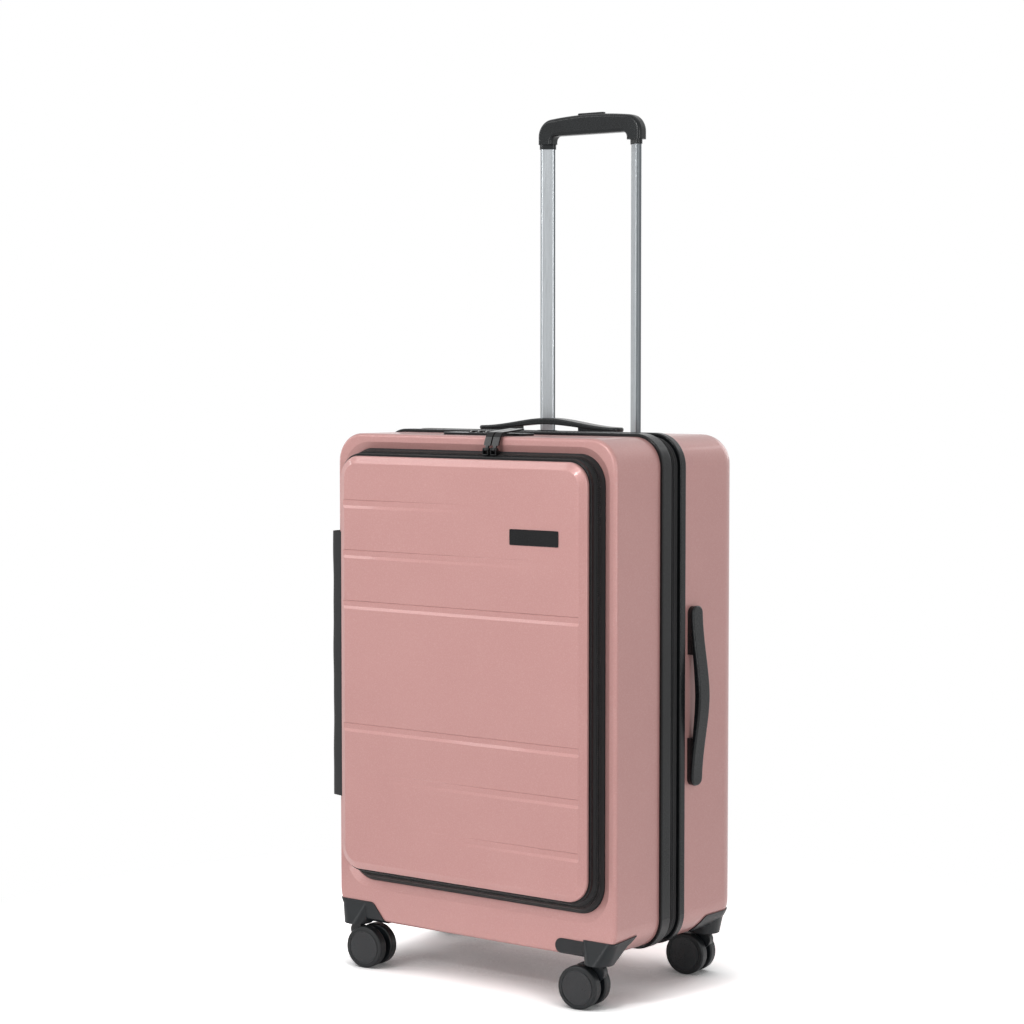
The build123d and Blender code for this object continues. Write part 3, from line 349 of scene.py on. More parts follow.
class Finishes:
    """Every finish on the case, built once."""

    def __init__(self) -> None:
        """Build the shell, the black plastics, the cloths and the metals."""
        self.shell = PearlShell().build()
        self.build_plastics()
        self.build_cloths()
        self.build_metals()

    def build_plastics(self) -> None:
        """Build every moulded, extruded, cast and printed finish."""
        # Extruded PVC and TPE: smooth black with long soft highlights.
        self.rim = MouldedPlastic("pvc_extruded_edge_profile", "#0C0E10", "#131618", roughness=0.24,
                                  grain_mm=0.7, grain_height_mm=0.008, ior=1.52, specular=0.25).build()
        self.trim = MouldedPlastic("tpe_extruded_door_trim", "#0C0D0F", "#121416", roughness=0.25,
                                   grain_mm=0.7, grain_height_mm=0.008, specular=0.25).build()
        # Moulded polypropylene: a faint grain that softens the highlights of the handles.
        self.handle = MouldedPlastic("pp_moulded_soft_grain", "#0D1012", "#14181A", roughness=0.26,
                                     grain_mm=0.8, grain_height_mm=0.012, specular=0.33).build()
        # Moulded ABS: dull with a coarse spark grain on the housings, satin on the lock.
        self.housing = MouldedPlastic("abs_moulded_spark_grain", "#14171A", "#1B1F22", roughness=0.36,
                                      grain_height_mm=0.04, ior=1.5, specular=0.3).build()
        self.lock = MouldedPlastic("abs_moulded_black_satin", "#0A0B0D", "#111214", roughness=0.22,
                                   grain_mm=0.8, grain_height_mm=0.01, ior=1.5, specular=0.25).build()
        # Lacquer over cast zinc and over aluminium plate: even black, a little glossier than the plastics.
        self.dial = MouldedPlastic("zinc_cast_black_lacquer", "#090A0C", "#101113", roughness=0.20,
                                   grain_mm=0.8, grain_height_mm=0.008, ior=1.5, specular=0.3).build()
        self.badge = MouldedPlastic("aluminium_plate_black_lacquer", "#0A0A0C", "#111113", roughness=0.24,
                                    grain_mm=0.6, grain_height_mm=0.006, ior=1.5, specular=0.25).build()
        # Pad printed ink: flat off-white.
        self.digit = MouldedPlastic("acrylic_ink_white_pad_print", "#D6D6D2", "#E2E2DE", roughness=0.5,
                                    grain_mm=0.5, grain_height_mm=0.005).build()
        # Moulded rubber: gloss black.
        self.pull = MouldedPlastic("tpr_moulded_gloss_black", "#08090A", "#0F1012", roughness=0.18,
                                   grain_mm=1.2, grain_height_mm=0.01, ior=1.5, specular=0.3).build()
        # Cast polyurethane: a dull tread. Moulded polypropylene: a smoother disc inside it.
        self.wheel = MouldedPlastic("polyurethane_cast_tread", "#121517", "#1A1D1F", roughness=0.42,
                                    grain_height_mm=0.04, ior=1.5, specular=0.3).build()
        self.hub = MouldedPlastic("pp_moulded_hub_disc", "#15181B", "#1D2124", roughness=0.30, grain_mm=0.8,
                                  grain_height_mm=0.02, specular=0.4).build()
        # Nylon monofilament: small bright points on each turn.
        self.coil = MouldedPlastic("nylon_coil_teeth", "#0D0E0F", "#161719", roughness=0.32, grain_mm=0.6,
                                   grain_height_mm=0.01, ior=1.53, specular=0.4).build()

    def build_cloths(self) -> None:
        """Build every woven finish."""
        # Woven polyester: flat black with threads that show close up. The lining is paler and smoother.
        self.tape = WovenTape("polyester_woven_zip_tape", "#0E0E10", "#1C1D1F").build()
        self.flap = WovenTape("polyester_woven_hinge_cloth", "#101113", "#212326", 1.1, 0.14).build()
        self.thread = WovenTape("polyester_sewing_thread", "#1A1C1E", "#2E3134", 0.4, 0.06).build()
        self.lining = WovenTape("polyester_lining_cloth", "#4A4A4D", "#5C5C60", 1.2, 0.10, 0.7, 0.25).build()

    def build_metals(self) -> None:
        """Build every bare metal."""
        # Drawn and anodised aluminium: pale grey with fine lines. The tubes' narrow edges take a darker copy,
        # painted shade for the dark they reflect.
        self.tube = DrawnMetal("aluminium_drawn_anodised", "#A2A6A9", "#B2B6B9", 0.32).build()
        self.tube_edge_painted_shade = DrawnMetal("aluminium_drawn_anodised_painted_edge_shade", "#5A5E61", "#6A6E71", 0.36).build()
        # Turned steel with zinc plating: even grey without long lines.
        self.steel = DrawnMetal("steel_turned_zinc_plated", "#9A9B9D", "#B5B6B8", 0.34, 0.4, 1.0, 0.0).build()


def dress(node: str, material: bpy.types.Material) -> None:
    """Give a CAD node one finish.

    Args:
        node: Name of the node.
        material: Its finish.
    """
    data = NODES[node].data
    data.materials.clear()
    data.materials.append(material)
    LOG.info("dressed %s with %s", node, material.name)


def dress_where(node: str, material: bpy.types.Material, test: Callable[[Vector, Vector], bool]) -> None:
    """Give some faces of a dressed CAD node a second finish.

    Args:
        node: Name of the node.
        material: The second finish.
        test: Says, from a face's centre and normal, whether the face takes it.
    """
    data = NODES[node].data
    data.materials.append(material)
    number = len(data.materials) - 1
    for face in data.polygons:
        if test(face.center, face.normal):
            face.material_index = number
    LOG.info("dressed some faces of %s with %s", node, material.name)


def new_piece(name: str, points: np.ndarray, faces: Sequence[Sequence[int]], material: bpy.types.Material,
              smooth_deg: float = 40.0) -> bpy.types.Object:
    """Make a mesh object from points in the row frame.

    Args:
        name: Name of the piece.
        points: Rows of x, y and z in metres.
        faces: Point numbers of each face.
        material: Finish of the whole piece.
        smooth_deg: Edges turned more than this stay sharp.

    Returns:
        The new object, linked to the scene.
    """
    mesh = bpy.data.meshes.new(name)
    mesh.from_pydata([tuple(p) for p in points], [], [tuple(f) for f in faces])
    mesh.materials.append(material)
    mesh.shade_smooth()
    mesh.set_sharp_from_angle(angle=math.radians(smooth_deg))
    mesh.validate()
    piece = bpy.data.objects.new(name, mesh)
    bpy.context.scene.collection.objects.link(piece)
    return piece


def swept_faces(rings: int, size: int, first: int = 0) -> list[list[int]]:
    """Faces of a closed section swept along an open path, with both ends capped.

    Args:
        rings: Number of sections.
        size: Points in each section.
        first: Number of the first point.

    Returns:
        Point numbers of each face.
    """
    faces = []
    for i in range(rings - 1):
        for j in range(size):
            a = first + i * size + j
            b = first + i * size + (j + 1) % size
            faces.append([a, b, b + size, a + size])
    faces.append([first + j for j in range(size)][::-1])
    faces.append([first + (rings - 1) * size + j for j in range(size)])
    return faces


@dataclass(frozen=True)
class OpenLoop:
    """Rounded outline in X and Z that starts and ends on the left, above and below a gap. Millimetres."""

    half_width: float
    low: float
    high: float
    radius: float
    gap_low: float
    gap_high: float

    def runs(self) -> list[tuple[float, Callable[[float], tuple[Point, Point]]]]:
        """The straight and round runs of the outline.

        Returns:
            Each run's length, and the point and outward direction at a share of it.
        """
        w, r = self.half_width, self.radius

        def line(start: Point, end: Point, out: Point) -> tuple[float, Callable]:
            """A straight run's length, and its point and direction at a share of it."""
            length = math.dist(start, end)
            return length, lambda t: ((start[0] + (end[0] - start[0]) * t,
                                       start[1] + (end[1] - start[1]) * t), out)

        def arc(cx: float, cz: float, begin: float) -> tuple[float, Callable]:
            """A quarter round's length, and its point and direction at a share of it."""
            def spot(t: float) -> tuple[Point, Point]:
                """The point and outward direction at a share of the quarter round."""
                angle = math.radians(begin - 90 * t)
                out = (math.cos(angle), math.sin(angle))
                return (cx + r * out[0], cz + r * out[1]), out
            return r * math.pi / 2, spot

        return [
            line((-w, self.gap_high), (-w, self.high - r), (-1, 0)),
            arc(-w + r, self.high - r, 180),
            line((-w + r, self.high), (w - r, self.high), (0, 1)),
            arc(w - r, self.high - r, 90),
            line((w, self.high - r), (w, self.low + r), (1, 0)),
            arc(w - r, self.low + r, 0),
            line((w - r, self.low), (-w + r, self.low), (0, -1)),
            arc(-w + r, self.low + r, 270),
            line((-w, self.low + r), (-w, self.gap_low), (-1, 0)),
        ]

    def stations(self, counts: Sequence[int]) -> tuple[np.ndarray, np.ndarray]:
        """Points along the outline.

        Args:
            counts: Number of steps in each run.

        Returns:
            Rows of x and z, and rows of outward directions.
        """
        spots = []
        for (_, spot), count in zip(self.runs(), counts):
            spots += [spot(i / count) for i in range(count)]
        spots.append(self.runs()[-1][1](1.0))
        return np.array([s[0] for s in spots]), np.array([s[1] for s in spots])

    def counts(self, pitch: float) -> list[int]:
        """Steps in each run for a given pitch."""
        return [max(1, round(length / pitch)) for length, _ in self.runs()]


@dataclass
class ZipHalf:
    """One half of a coil zip that runs round an outline: its woven tape and its row of coil turns."""

    name: str
    node: str
    body: str
    edge: OpenLoop
    edge_y: float
    mid: OpenLoop
    mid_y: float
    tape_mm: float = 1.2
    coil_mm: float = 2.6
    coil_rise_mm: float = 1.5
    pitch_mm: float = 2.3
    phase: float = 0.0
    tape_step_mm: float = 4.0
    turn_share: float = 0.36
    centre_share: float = 0.45

    def frames(self, pitch: float) -> tuple[np.ndarray, np.ndarray, np.ndarray]:
        """Edge points, middle points and directions off the tape, along the whole run.

        Args:
            pitch: Step along the zip in millimetres.

        Returns:
            Three arrays of x, y and z in millimetres.
        """
        counts = self.mid.counts(pitch)
        edge, _ = self.edge.stations(counts)
        mid, out = self.mid.stations(counts)
        a = np.column_stack([edge[:, 0], np.full(len(edge), self.edge_y), edge[:, 1]])
        b = np.column_stack([mid[:, 0], np.full(len(mid), self.mid_y), mid[:, 1]])
        across = (b - a) / np.linalg.norm(b - a, axis=1, keepdims=True)
        flat_out = np.column_stack([out[:, 0], np.zeros(len(out)), out[:, 1]])
        normal = flat_out - across * np.sum(flat_out * across, axis=1, keepdims=True)
        return a, b, normal / np.linalg.norm(normal, axis=1, keepdims=True)

    def tape(self, finishes: Finishes) -> bpy.types.Object:
        """Woven tape with a raised selvedge and a sewn ridge.

        Args:
            finishes: All finishes.

        Returns:
            The tape piece.
        """
        a, b, n = self.frames(self.tape_step_mm)
        t = self.tape_mm
        # Share across the tape and height off its face, round the section.
        section = [(0.0, 0.0), (0.18, 0.05), (0.22, 0.35), (0.30, 0.35), (0.34, 0.05), (0.60, 0.0),
                   (0.66, 0.25), (1.0, 0.25), (1.0, -t), (0.5, -t), (0.0, -t)]
        rings = np.stack([a + (b - a) * s + n * h for s, h in section], axis=1)
        faces = swept_faces(len(a), len(section))
        return new_piece(f"{self.name}_tape", rings.reshape(-1, 3) * MM, faces, finishes.tape)

    def coil(self, finishes: Finishes) -> bpy.types.Object:
        """Row of rounded coil turns beside the middle of the zip.

        Args:
            finishes: All finishes.

        Returns:
            The coil piece.
        """
        a, b, n = self.frames(self.pitch_mm)
        inward = (a - b) / np.linalg.norm(a - b, axis=1, keepdims=True)
        run = np.gradient(b, axis=0)
        run /= np.linalg.norm(run, axis=1, keepdims=True)
        points: list[np.ndarray] = []
        faces: list[list[int]] = []
        half = self.pitch_mm * self.turn_share
        angles = [2 * math.pi * k / ROUND_SIDES for k in range(ROUND_SIDES)]
        # Share along each turn and its share of the full thickness.
        stops = [(0.0, 0.55), (0.12, 0.9), (0.55, 1.0), (0.9, 0.8), (1.0, 0.4)]
        for i in range(1, len(b) - 1):
            seat = b[i] + run[i] * self.pitch_mm * self.phase
            first = len(points) * ROUND_SIDES
            for along, fat in stops:
                centre = (seat + inward[i] * self.coil_mm * along
                          + n[i] * self.coil_rise_mm * self.centre_share)
                ring = [centre + run[i] * half * fat * math.cos(q)
                        + n[i] * self.coil_rise_mm * 0.5 * fat * math.sin(q) for q in angles]
                points.append(np.array(ring))
            faces += swept_faces(len(stops), ROUND_SIDES, first)
        return new_piece(f"{self.name}_coil", np.concatenate(points) * MM, faces, finishes.coil, 75.0)

    def build(self, finishes: Finishes) -> None:
        """Make both pieces, ride them on their body and hide the plain CAD band.

        Args:
            finishes: All finishes.
        """
        for piece in (self.tape(finishes), self.coil(finishes)):
            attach(piece, self.body)
            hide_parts(self.node)
            LOG.info("built %s", piece.name)


@dataclass
class Zips:
    """The main zip round the case and the pocket zip round the door, each in two halves."""

    main_gap: tuple[float, float] = (124.5, 604.5)
    pocket_gap: tuple[float, float] = (214.0, 548.0)
    part_gap: float = 0.3
    case_inset: float = 1.0
    case_radius: float = 35.0
    seat_lift: float = 1.5
    # Half width, bottom, top and corner radius of each line round the door.
    seat_line: tuple[float, float, float, float] = (197.0, 110.0, 652.0, 36.0)
    door_line: tuple[float, float, float, float] = (190.0, 128.0, 643.0, 28.0)
    band_line: tuple[float, float, float, float] = (193.5, 119.0, 647.5, 32.0)

    def build(self, finishes: Finishes) -> None:
        """Build all four halves.

        Args:
            finishes: All finishes.
        """
        inset = self.case_inset
        case = OpenLoop(SIZES.half_width - inset, SIZES.low + inset, SIZES.high - inset, self.case_radius,
                        *self.main_gap)
        seat = OpenLoop(*self.seat_line, *self.pocket_gap)
        door = OpenLoop(*self.door_line, *self.pocket_gap)
        band = OpenLoop(*self.band_line, *self.pocket_gap)
        y_band = (SIZES.y_seat + SIZES.y_trim) / 2
        gap = self.part_gap
        for half in (
            ZipHalf("main_zip_front", "main_zip_front_half", "front_case", case, SIZES.y_web_front, case,
                    SIZES.y_mid - gap),
            ZipHalf("main_zip_rear", "main_zip_rear_half", "rear_case", case, SIZES.y_web_rear, case,
                    SIZES.y_mid + gap, phase=0.5),
            ZipHalf("pocket_zip_frame", "pocket_zip_frame_half", "front_case", seat,
                    SIZES.y_seat + self.seat_lift, band, y_band + gap),
            ZipHalf("pocket_zip_door", "pocket_zip_door_half", "front_door", door, SIZES.y_trim, band,
                    y_band - gap, phase=0.5),
        ):
            half.build(finishes)


@dataclass
class HingeCloth:
    """Woven cloth that crosses a hinge, with a row of lockstitch along each sewn edge. Millimetres."""

    name: str
    node: str
    bodies: tuple[str, str]
    path: list[tuple[float, float]]
    low: float
    high: float
    blend_points: tuple[tuple[float, float], tuple[float, float]]
    rests_on: list[str]
    thick: float = 1.2
    ripple: float = 0.25
    stitch_inset: float = 3.0
    stitch_pitch: float = 4.2
    stitch_margin: float = 4.0
    stitch_half_width: float = 0.45
    stitch_half_height: float = 0.3
    stitch_lift: float = 0.1
    stitch_share: float = 0.9
    rows: int = 60
    long_wave: float = 23.0
    short_wave: float = 9.7

    def smooth_path(self, steps: int = 8) -> np.ndarray:
        """Points of a smooth line through the path.

        Args:
            steps: Points in each span.

        Returns:
            Rows of x and y.
        """
        knots = np.array([self.path[0], *self.path, self.path[-1]], dtype=float)
        line = []
        for i in range(1, len(knots) - 2):
            p0, p1, p2, p3 = knots[i - 1:i + 3]
            for t in np.linspace(0, 1, steps, endpoint=False):
                line.append(0.5 * (2 * p1 + (p2 - p0) * t + (2 * p0 - 5 * p1 + 4 * p2 - p3) * t ** 2
                                   + (3 * p1 - p0 - 3 * p2 + p3) * t ** 3))
        line.append(knots[-2])
        return np.array(line)

    def sides(self) -> tuple[np.ndarray, np.ndarray]:
        """The smooth path and its normals.

        Returns:
            Rows of x and y, and rows of unit normals that point off the case.
        """
        line = self.smooth_path()
        run = np.gradient(line, axis=0)
        run /= np.linalg.norm(run, axis=1, keepdims=True)
        return line, np.column_stack([-run[:, 1], run[:, 0]])

    def cloth(self, finishes: Finishes) -> bpy.types.Object:
        """The woven sheet, slightly rippled between its sewn edges.

        Args:
            finishes: All finishes.

        Returns:
            The sheet piece.
        """
        line, normal = self.sides()
        heights = np.linspace(self.low, self.high, self.rows)
        across = np.linspace(0, 1, len(line))
        slack = np.sin(across * math.pi)
        layers = []
        for z in heights:
            wave = math.sin(z / self.long_wave) + 0.6 * math.sin(z / self.short_wave + 1.3)
            middle = line + normal * (self.ripple * wave * slack)[:, None]
            outer = middle + normal * self.thick / 2
            inner = middle - normal * self.thick / 2
            section = np.concatenate([outer, inner[::-1]])
            layers.append(np.column_stack([section, np.full(len(section), z)]))
        faces = swept_faces(len(heights), 2 * len(line))
        return new_piece(self.name, np.concatenate(layers) * MM, faces, finishes.flap)

    def stitches(self, finishes: Finishes, last: bool) -> bpy.types.Object:
        """One row of stitches along a sewn edge.

        Args:
            finishes: All finishes.
            last: True for the edge at the path's end.

        Returns:
            The stitch piece.
        """
        line, normal = self.sides()
        length = np.concatenate([[0], np.cumsum(np.linalg.norm(np.diff(line, axis=0), axis=1))])
        at = length[-1] - self.stitch_inset if last else self.stitch_inset
        seat = np.array([np.interp(at, length, line[:, k]) for k in (0, 1)])
        out = np.array([np.interp(at, length, normal[:, k]) for k in (0, 1)])
        side = np.array([-out[1], out[0]])
        points: list[np.ndarray] = []
        faces: list[list[int]] = []
        # Share of the pitch along each stitch and its share of the full thickness.
        stops = [(-0.40, 0.25), (-0.28, 0.8), (0.0, 1.0), (0.28, 0.8), (0.40, 0.25)]
        count = int((self.high - self.low - 2 * self.stitch_margin) / self.stitch_pitch)
        for i in range(count):
            z = self.low + self.stitch_margin + (i + 0.5) * self.stitch_pitch
            first = len(points) * ROUND_SIDES
            for along, fat in stops:
                ring = []
                for k in range(ROUND_SIDES):
                    angle = 2 * math.pi * k / ROUND_SIDES
                    lift = self.thick / 2 + self.stitch_lift + self.stitch_half_height * fat * math.sin(angle)
                    flat = seat + out * lift + side * self.stitch_half_width * fat * math.cos(angle)
                    ring.append((flat[0], flat[1], z + along * self.stitch_pitch * self.stitch_share))
                points.append(np.array(ring))
            faces += swept_faces(len(stops), ROUND_SIDES, first)
        return new_piece(f"{self.name}_stitches_{'b' if last else 'a'}", np.concatenate(points) * MM, faces,
                         finishes.thread, 75.0)

    def build(self, finishes: Finishes) -> None:
        """Make the cloth and its stitches, and ride each row of stitches on its body.

        Args:
            finishes: All finishes.
        """
        cloth = self.cloth(finishes)
        rows = [self.stitches(finishes, last) for last in (False, True)]
        middle = (self.low + self.high) / 2
        start, end = ((x * MM, y * MM, middle * MM) for x, y in self.blend_points)
        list(self.bodies)
        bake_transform(cloth)
        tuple(start)
        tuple(end)
        for row, body in zip(rows, self.bodies):
            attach(row, body)
        line = self.smooth_path()
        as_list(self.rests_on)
        for piece in (cloth, *rows):
            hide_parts(self.node)
            LOG.info("built %s", piece.name)


@dataclass
class Hinges:
    """The two cloth hinges on the left: the case's strip and the door's flap.

    Each path and blend point is a step off the case's left side, and a depth. Millimetres.
    """

    strip_path: tuple[Point, ...] = ((1.6, 10.4), (0.9, 7.0), (0.5, 1.0), (0.9, -5.0), (1.6, -8.4))
    strip_heights: tuple[float, float] = (125.2, 603.8)
    strip_blend: tuple[Point, Point] = ((0.0, 6.0), (0.0, -4.0))
    flap_path: tuple[Point, ...] = ((-0.8, -90.0), (-0.8, -99.0), (-4.3, -109.7), (-2.0, -122.0),
                                    (11.0, -126.6), (24.4, -128.6))
    flap_heights: tuple[float, float] = (214.6, 547.4)
    flap_blend: tuple[Point, Point] = ((-3.0, -106.0), (14.0, -127.0))

    def off_side(self, steps: Sequence[Point]) -> list[Point]:
        """Points in the row frame from steps off the case's left side."""
        return [(step - SIZES.half_width, depth) for step, depth in steps]

    def build(self, finishes: Finishes) -> None:
        """Build both cloths.

        Args:
            finishes: All finishes.
        """
        strip = HingeCloth("case_hinge_cloth", "case_hinge_strip", ("rear_case", "front_case"),
                           self.off_side(self.strip_path), *self.strip_heights,
                           tuple(self.off_side(self.strip_blend)), ["rear_rim", "front_rim"], ripple=0.1,
                           stitch_inset=2.2)
        flap = HingeCloth("door_hinge_cloth", "door_hinge_flap", ("front_case", "front_door"),
                          self.off_side(self.flap_path), *self.flap_heights,
                          tuple(self.off_side(self.flap_blend)), ["front_shell", "door_trim"])
        for cloth in (strip, flap):
            cloth.build(finishes)


@dataclass
class CaseShells:
    """The two halves of the case with their rims."""

    y_lining: float = -108.0
    y_rear_middle: float = 70.0
    y_front_middle: float = -60.0

    def lined(self, y_middle: float) -> Callable[[Vector, Vector], bool]:
        """A test for the lined inner faces of a shell.

        Args:
            y_middle: Depth of the middle of the shell.

        Returns:
            A test that is true for faces that look towards the middle.
        """
        middle = Vector((0, y_middle, (SIZES.low + SIZES.high) / 2)) * MM
        return lambda centre, normal: centre.y > self.y_lining * MM and normal.dot(centre - middle) < 0

    def dress(self, finishes: Finishes) -> None:
        """Put the finishes on both halves.

        Args:
            finishes: All finishes.
        """
        for node, y_middle in (("rear_shell", self.y_rear_middle), ("front_shell", self.y_front_middle)):
            dress(node, finishes.shell)
            dress_where(node, finishes.lining, self.lined(y_middle))
        for node in ("rear_rim", "front_rim"):
            dress(node, finishes.rim)
        dress("pocket_panel", finishes.lining)


@dataclass
class FrontDoor:
    """Ribbed door of the front pocket."""

    inner_turn: float = 0.9

    def dress(self, finishes: Finishes) -> None:
        """Put the finishes on the door.

        Args:
            finishes: All finishes.
        """
        dress("front_door", finishes.shell)
        dress_where("front_door", finishes.lining, lambda _, normal: normal.y > self.inner_turn)
        dress("door_trim", finishes.trim)
        dress("badge_plate", finishes.badge)


@dataclass
class Casters:
    """Four twin casters with their corner housings."""

    hub_radius: float = 20.9

    def dress(self, finishes: Finishes) -> None:
        """Put the finishes on all casters.

        Args:
            finishes: All finishes.
        """
        for end in End:
            for hand in Hand:
                corner = f"{end.value}_{hand.value}"
                dress(f"caster_housing_{corner}", finishes.housing)
                dress(f"caster_fork_{corner}", finishes.housing)
                dress(f"caster_axle_{corner}", finishes.steel)
                for twin in Twin:
                    self.wheel(f"wheel_{corner}_{twin.value}", finishes)

    def wheel(self, node: str, finishes: Finishes) -> None:
        """Tread outside, hub disc inside.

        Args:
            node: Wheel node.
            finishes: All finishes.
        """
        low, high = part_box(node)
        middle = (low + high) / 2
        dress(node, finishes.wheel)
        dress_where(node, finishes.hub,
                    lambda c, _: math.hypot(c.x - middle.x, c.z - middle.z) < self.hub_radius * MM)


@dataclass
class Handles:
    """Carry handles and trolley."""

    tube_turn_deg: float = 30.0
    broad_turn: float = 0.85

    def narrow(self, centre: Vector, normal: Vector) -> bool:
        """Whether a face lies on a tube's narrow edge.

        Args:
            centre: Centre of the face in metres.
            normal: Direction the face looks.

        Returns:
            True for the narrow edges and their corners.
        """
        turn = -math.copysign(math.radians(self.tube_turn_deg), centre.x)
        return abs(normal.x * -math.sin(turn) + normal.y * math.cos(turn)) < self.broad_turn

    def dress(self, finishes: Finishes) -> None:
        """Put the finishes on the handles.

        Args:
            finishes: All finishes.
        """
        for node in ("top_handle", "top_handle_feet", "side_handle", "side_handle_feet", "grip_body",
                     "grip_cover_plate", "release_button"):
            dress(node, finishes.handle)
        for node in ("trolley_cup", "guide_foot", "tube_plugs"):
            dress(node, finishes.housing)
        for node in ("trolley_tubes", "guide_tubes"):
            dress(node, finishes.tube)
            # Painted shade: the narrow edges get a darker copy of the same aluminium.
            dress_where(node, finishes.tube_edge_painted_shade, self.narrow)
        for node in ("handle_screws", "release_rods"):
            dress(node, finishes.steel)


@dataclass
class LockAndPulls:
    """Combination lock, zip sliders and pull tongues."""

    dial_radius: float = 6.0
    digit_height: float = 3.0
    digit_lift: float = 0.04
    type_size: float = 1.35
    digits_round: int = 10

    def digits(self, number: int, finishes: Finishes) -> None:
        """Ten printed numbers wrapped round one dial.

        Args:
            number: Which dial, from 1 to 3.
            finishes: All finishes.
        """
        low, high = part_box(f"lock_dial_{number}")
        middle = (low + high) / 2
        points: list[tuple] = []
        faces: list[list[int]] = []
        for count in range(self.digits_round):
            text = bpy.data.curves.new("digit", "FONT")
            text.body = str(count)
            text.size = self.digit_height * MM * self.type_size
            text.align_x, text.align_y = "CENTER", "CENTER"
            text.resolution_u = 3
            holder = bpy.data.objects.new("digit", text)
            mesh = bpy.data.meshes.new_from_object(holder)
            first = len(points)
            radius = (self.dial_radius + self.digit_lift) * MM
            for vertex in mesh.vertices:
                angle = math.radians(360 / self.digits_round * count) + vertex.co.y / radius
                points.append((middle.x + vertex.co.x, middle.y + radius * math.sin(angle),
                               middle.z + radius * math.cos(angle)))
            faces += [[first + v for v in face.vertices] for face in mesh.polygons]
            bpy.data.objects.remove(holder)
            bpy.data.curves.remove(text)
            bpy.data.meshes.remove(mesh)
        piece = new_piece(f"lock_digits_{number}", np.array(points), faces, finishes.digit)
        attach(piece, f"lock_dial_{number}")
        LOG.info("built %s", piece.name)

    def dress(self, finishes: Finishes) -> None:
        """Put the finishes on the lock and the sliders.

        Args:
            finishes: All finishes.
        """
        dress("lock_body", finishes.lock)
        dress("lock_button", finishes.dial)
        dress("dial_spindle", finishes.steel)
        for number in (1, 2, 3):
            dress(f"lock_dial_{number}", finishes.dial)
            self.digits(number, finishes)
        for hand in Hand:
            dress(f"pocket_slider_{hand.value}", finishes.dial)
            dress(f"pocket_pull_{hand.value}", finishes.pull)
            dress(f"main_slider_{hand.value}", finishes.dial)


@dataclass(frozen=True)
class SoftBox:
    """One soft box, out of the camera's sight. Metres and watts."""

    name: str
    place: Place
    aim: Place
    size: tuple[float, float]
    power: float

    def build(self) -> None:
        """Add the lamp to the scene."""
        data = bpy.data.lights.new(self.name, "AREA")
        data.shape = "RECTANGLE"
        data.size, data.size_y = self.size
        data.energy = self.power
        lamp = bpy.data.objects.new(self.name, data)
        lamp.location = self.place
        lamp.rotation_euler = (Vector(self.aim) - Vector(self.place)).to_track_quat("-Z", "Y").to_euler()
        lamp.visible_camera = False
        bpy.context.scene.collection.objects.link(lamp)
        LOG.info("lit %s", self.name)


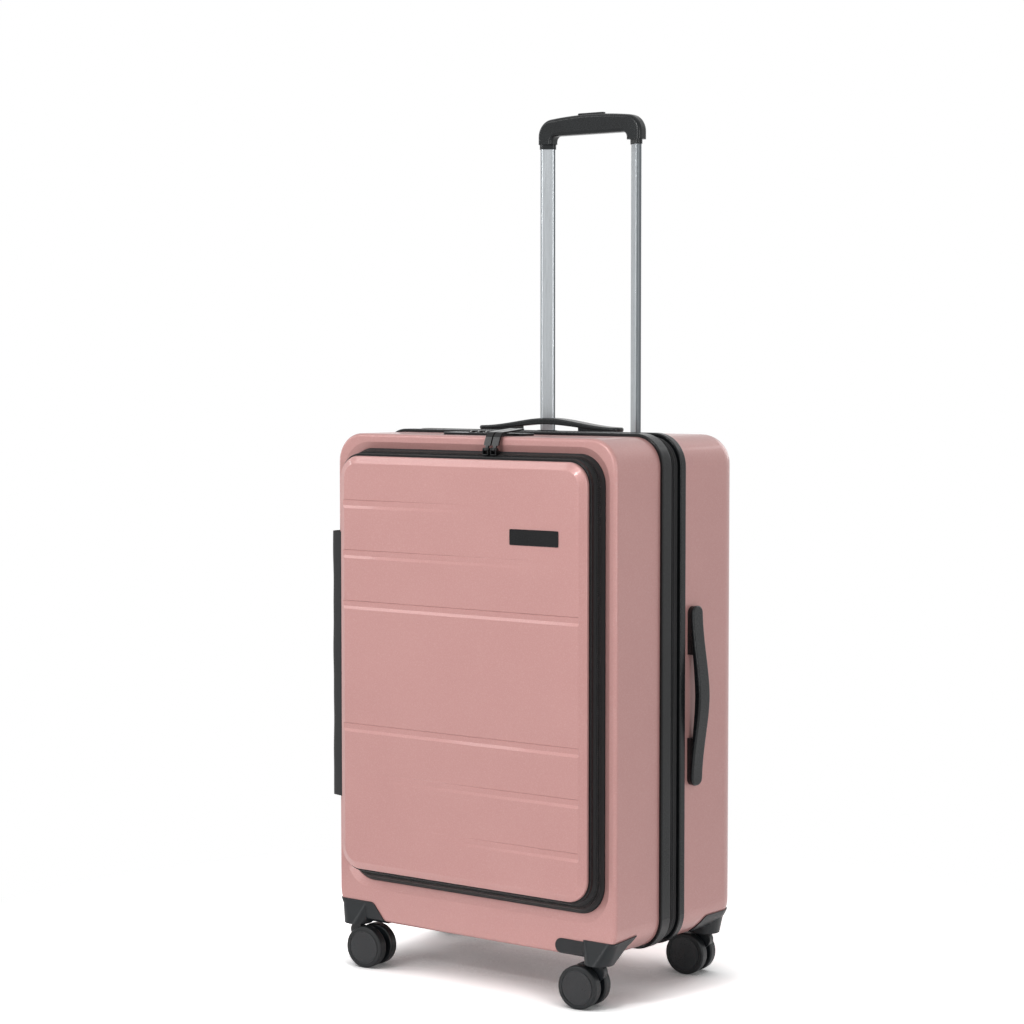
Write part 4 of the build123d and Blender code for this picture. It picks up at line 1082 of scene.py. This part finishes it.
@dataclass
class Studio:
    """White studio with soft light, and the camera of the photograph. Metres."""

    camera_place: Place = (1.9613, -2.5446, 0.7610)
    turn_deg: float = 38.02
    dip_deg: float = 3.35
    lens_mm: float = 91.23
    sensor_mm: float = 36.0
    ambient: float = 0.36
    floor_size: float = 16.0
    floor_grey: float = 0.80
    shadow_reach: float = 0.092
    shadow_samples: int = 8
    shut_in: float = 0.2
    open_up: float = 0.85
    painted_shadow_level: float = 0.10
    paper_bright: float = 2.2
    paper_glow: float = 0.10
    fade_start: float = 0.30
    fade_end: float = 0.85
    lamps: tuple[SoftBox, ...] = (
        SoftBox("key_left", (-0.9, -3.6, 1.5), (0.0, 0.0, 0.4), (1.6, 1.6), 16.0),
        SoftBox("high_front", (-0.2, -2.6, 2.05), (0.0, -0.1, 0.5), (0.6, 0.20), 20.0),
        SoftBox("strip_right", (2.9, -1.5, 1.0), (0.2, 0.0, 0.5), (0.12, 1.9), 23.0),
        SoftBox("strip_front", (-0.75, -3.4, 1.2), (0.0, 0.0, 0.5), (0.05, 1.9), 9.0),
        SoftBox("top", (0.0, 0.3, 3.0), (0.0, 0.0, 0.0), (2.4, 1.6), 6.0),
        SoftBox("box_high", (-1.85, -1.7, 2.15), (0.0, -0.1, 0.4), (0.6, 0.8), 6.5),
        SoftBox("fill_back", (0.3, 3.4, 1.7), (0.0, 0.0, 0.4), (1.8, 1.8), 16.0),
        SoftBox("strip_left", (-3.3, -1.1, 1.2), (0.0, 0.0, 0.4), (0.06, 1.6), 8.0),
    )

    def build(self) -> None:
        """Make the camera, the lamps, the world and the floor."""
        self.camera()
        for lamp in self.lamps:
            lamp.build()
        self.world()
        self.floor()
        scene = bpy.context.scene
        scene.view_settings.view_transform = "Standard"

    def camera(self) -> None:
        """Camera at the photograph's viewing angle."""
        data = bpy.data.cameras.new("camera")
        data.lens = self.lens_mm
        data.sensor_width = self.sensor_mm
        data.sensor_fit = "HORIZONTAL"
        camera = bpy.data.objects.new("camera", data)
        camera.location = self.camera_place
        camera.rotation_euler = (math.radians(90 - self.dip_deg), 0.0, math.radians(self.turn_deg))
        bpy.context.scene.collection.objects.link(camera)
        bpy.context.scene.camera = camera

    def world(self) -> None:
        """White seen directly and in reflections, with a soft grey as the light itself."""
        world = bpy.data.worlds.new("white_room")
        bpy.context.scene.world = world
        world.use_nodes = True
        tree = world.node_tree
        tree.nodes.clear()
        rays = add_node(tree, "ShaderNodeLightPath")
        seen = add_node(tree, "ShaderNodeMath", {0: rays.outputs["Is Camera Ray"],
                                                 1: rays.outputs["Is Transmission Ray"]}, operation="MAXIMUM")
        ambient = add_node(tree, "ShaderNodeBackground", {"Color": (1, 1, 1, 1), "Strength": self.ambient})
        white = add_node(tree, "ShaderNodeBackground", {"Color": (1, 1, 1, 1), "Strength": 1.0})
        either = add_node(tree, "ShaderNodeMath", {0: seen.outputs[0], 1: rays.outputs["Is Glossy Ray"]},
                          operation="MAXIMUM")
        mix = add_node(tree, "ShaderNodeMixShader", {0: either.outputs[0], 1: ambient.outputs[0],
                                                     2: white.outputs[0]})
        add_node(tree, "ShaderNodeOutputWorld", {"Surface": mix.outputs[0]})

    def floor(self) -> None:
        """Pale floor with a painted shadow under and near the case, over its lit shading, that fades to white
        away from it.
        """
        material, tree = blank_material("paper_sweep_matt_white")
        diffuse = add_node(tree, "ShaderNodeBsdfDiffuse", {"Color": (*[self.floor_grey] * 3, 1)})
        # Seen directly the paper is brighter than it lights the case, so that only the shadow stays grey. An
        # occlusion test paints extra shadow under and beside the case.
        painted_shadow_occlusion = add_node(tree, "ShaderNodeAmbientOcclusion", {"Distance": self.shadow_reach},
                            samples=self.shadow_samples)
        level = add_node(tree, "ShaderNodeMapRange", {"Value": painted_shadow_occlusion.outputs["AO"],
                                                      "From Min": self.shut_in, "From Max": self.open_up,
                                                      "To Min": self.painted_shadow_level, "To Max": self.paper_bright})
        paper = add_node(tree, "ShaderNodeBsdfDiffuse", {"Color": level.outputs["Result"]})
        glow = add_node(tree, "ShaderNodeEmission", {"Color": (1, 1, 1, 1), "Strength": self.paper_glow})
        near = add_node(tree, "ShaderNodeAddShader", {0: paper.outputs[0], 1: glow.outputs[0]})
        white = add_node(tree, "ShaderNodeEmission", {"Color": (1, 1, 1, 1), "Strength": 1.0})
        place = add_node(tree, "ShaderNodeTexCoord").outputs["Object"]
        away = add_node(tree, "ShaderNodeVectorMath", {0: place}, operation="LENGTH")
        fade = add_node(tree, "ShaderNodeMapRange", {"Value": away.outputs["Value"],
                                                     "From Min": self.fade_start, "From Max": self.fade_end},
                        interpolation_type="SMOOTHSTEP")
        seen = add_node(tree, "ShaderNodeMixShader", {0: fade.outputs["Result"], 1: near.outputs[0],
                                                      2: white.outputs[0]})
        rays = add_node(tree, "ShaderNodeLightPath")
        sight = add_node(tree, "ShaderNodeMath", {0: rays.outputs["Is Camera Ray"],
                                                  1: rays.outputs["Is Glossy Ray"]}, operation="MAXIMUM")
        mix = add_node(tree, "ShaderNodeMixShader", {0: sight.outputs[0], 1: diffuse.outputs[0],
                                                     2: seen.outputs[0]})
        add_node(tree, "ShaderNodeOutputMaterial", {"Surface": mix.outputs[0]})
        half = self.floor_size / 2
        corners = np.array([(-half, -half, 0), (half, -half, 0), (half, half, 0), (-half, half, 0)])
        new_piece("floor", corners, [(0, 1, 2, 3)], material)


def main() -> None:
    """Build the looks piece by piece."""
    logging.basicConfig(level=logging.INFO, format="%(name)s: %(message)s")
    finishes = Finishes()
    Studio().build()
    CaseShells().dress(finishes)
    FrontDoor().dress(finishes)
    Casters().dress(finishes)
    Handles().dress(finishes)
    LockAndPulls().dress(finishes)
    Zips().build(finishes)
    Hinges().build(finishes)


if __name__ == "__main__":
    main()
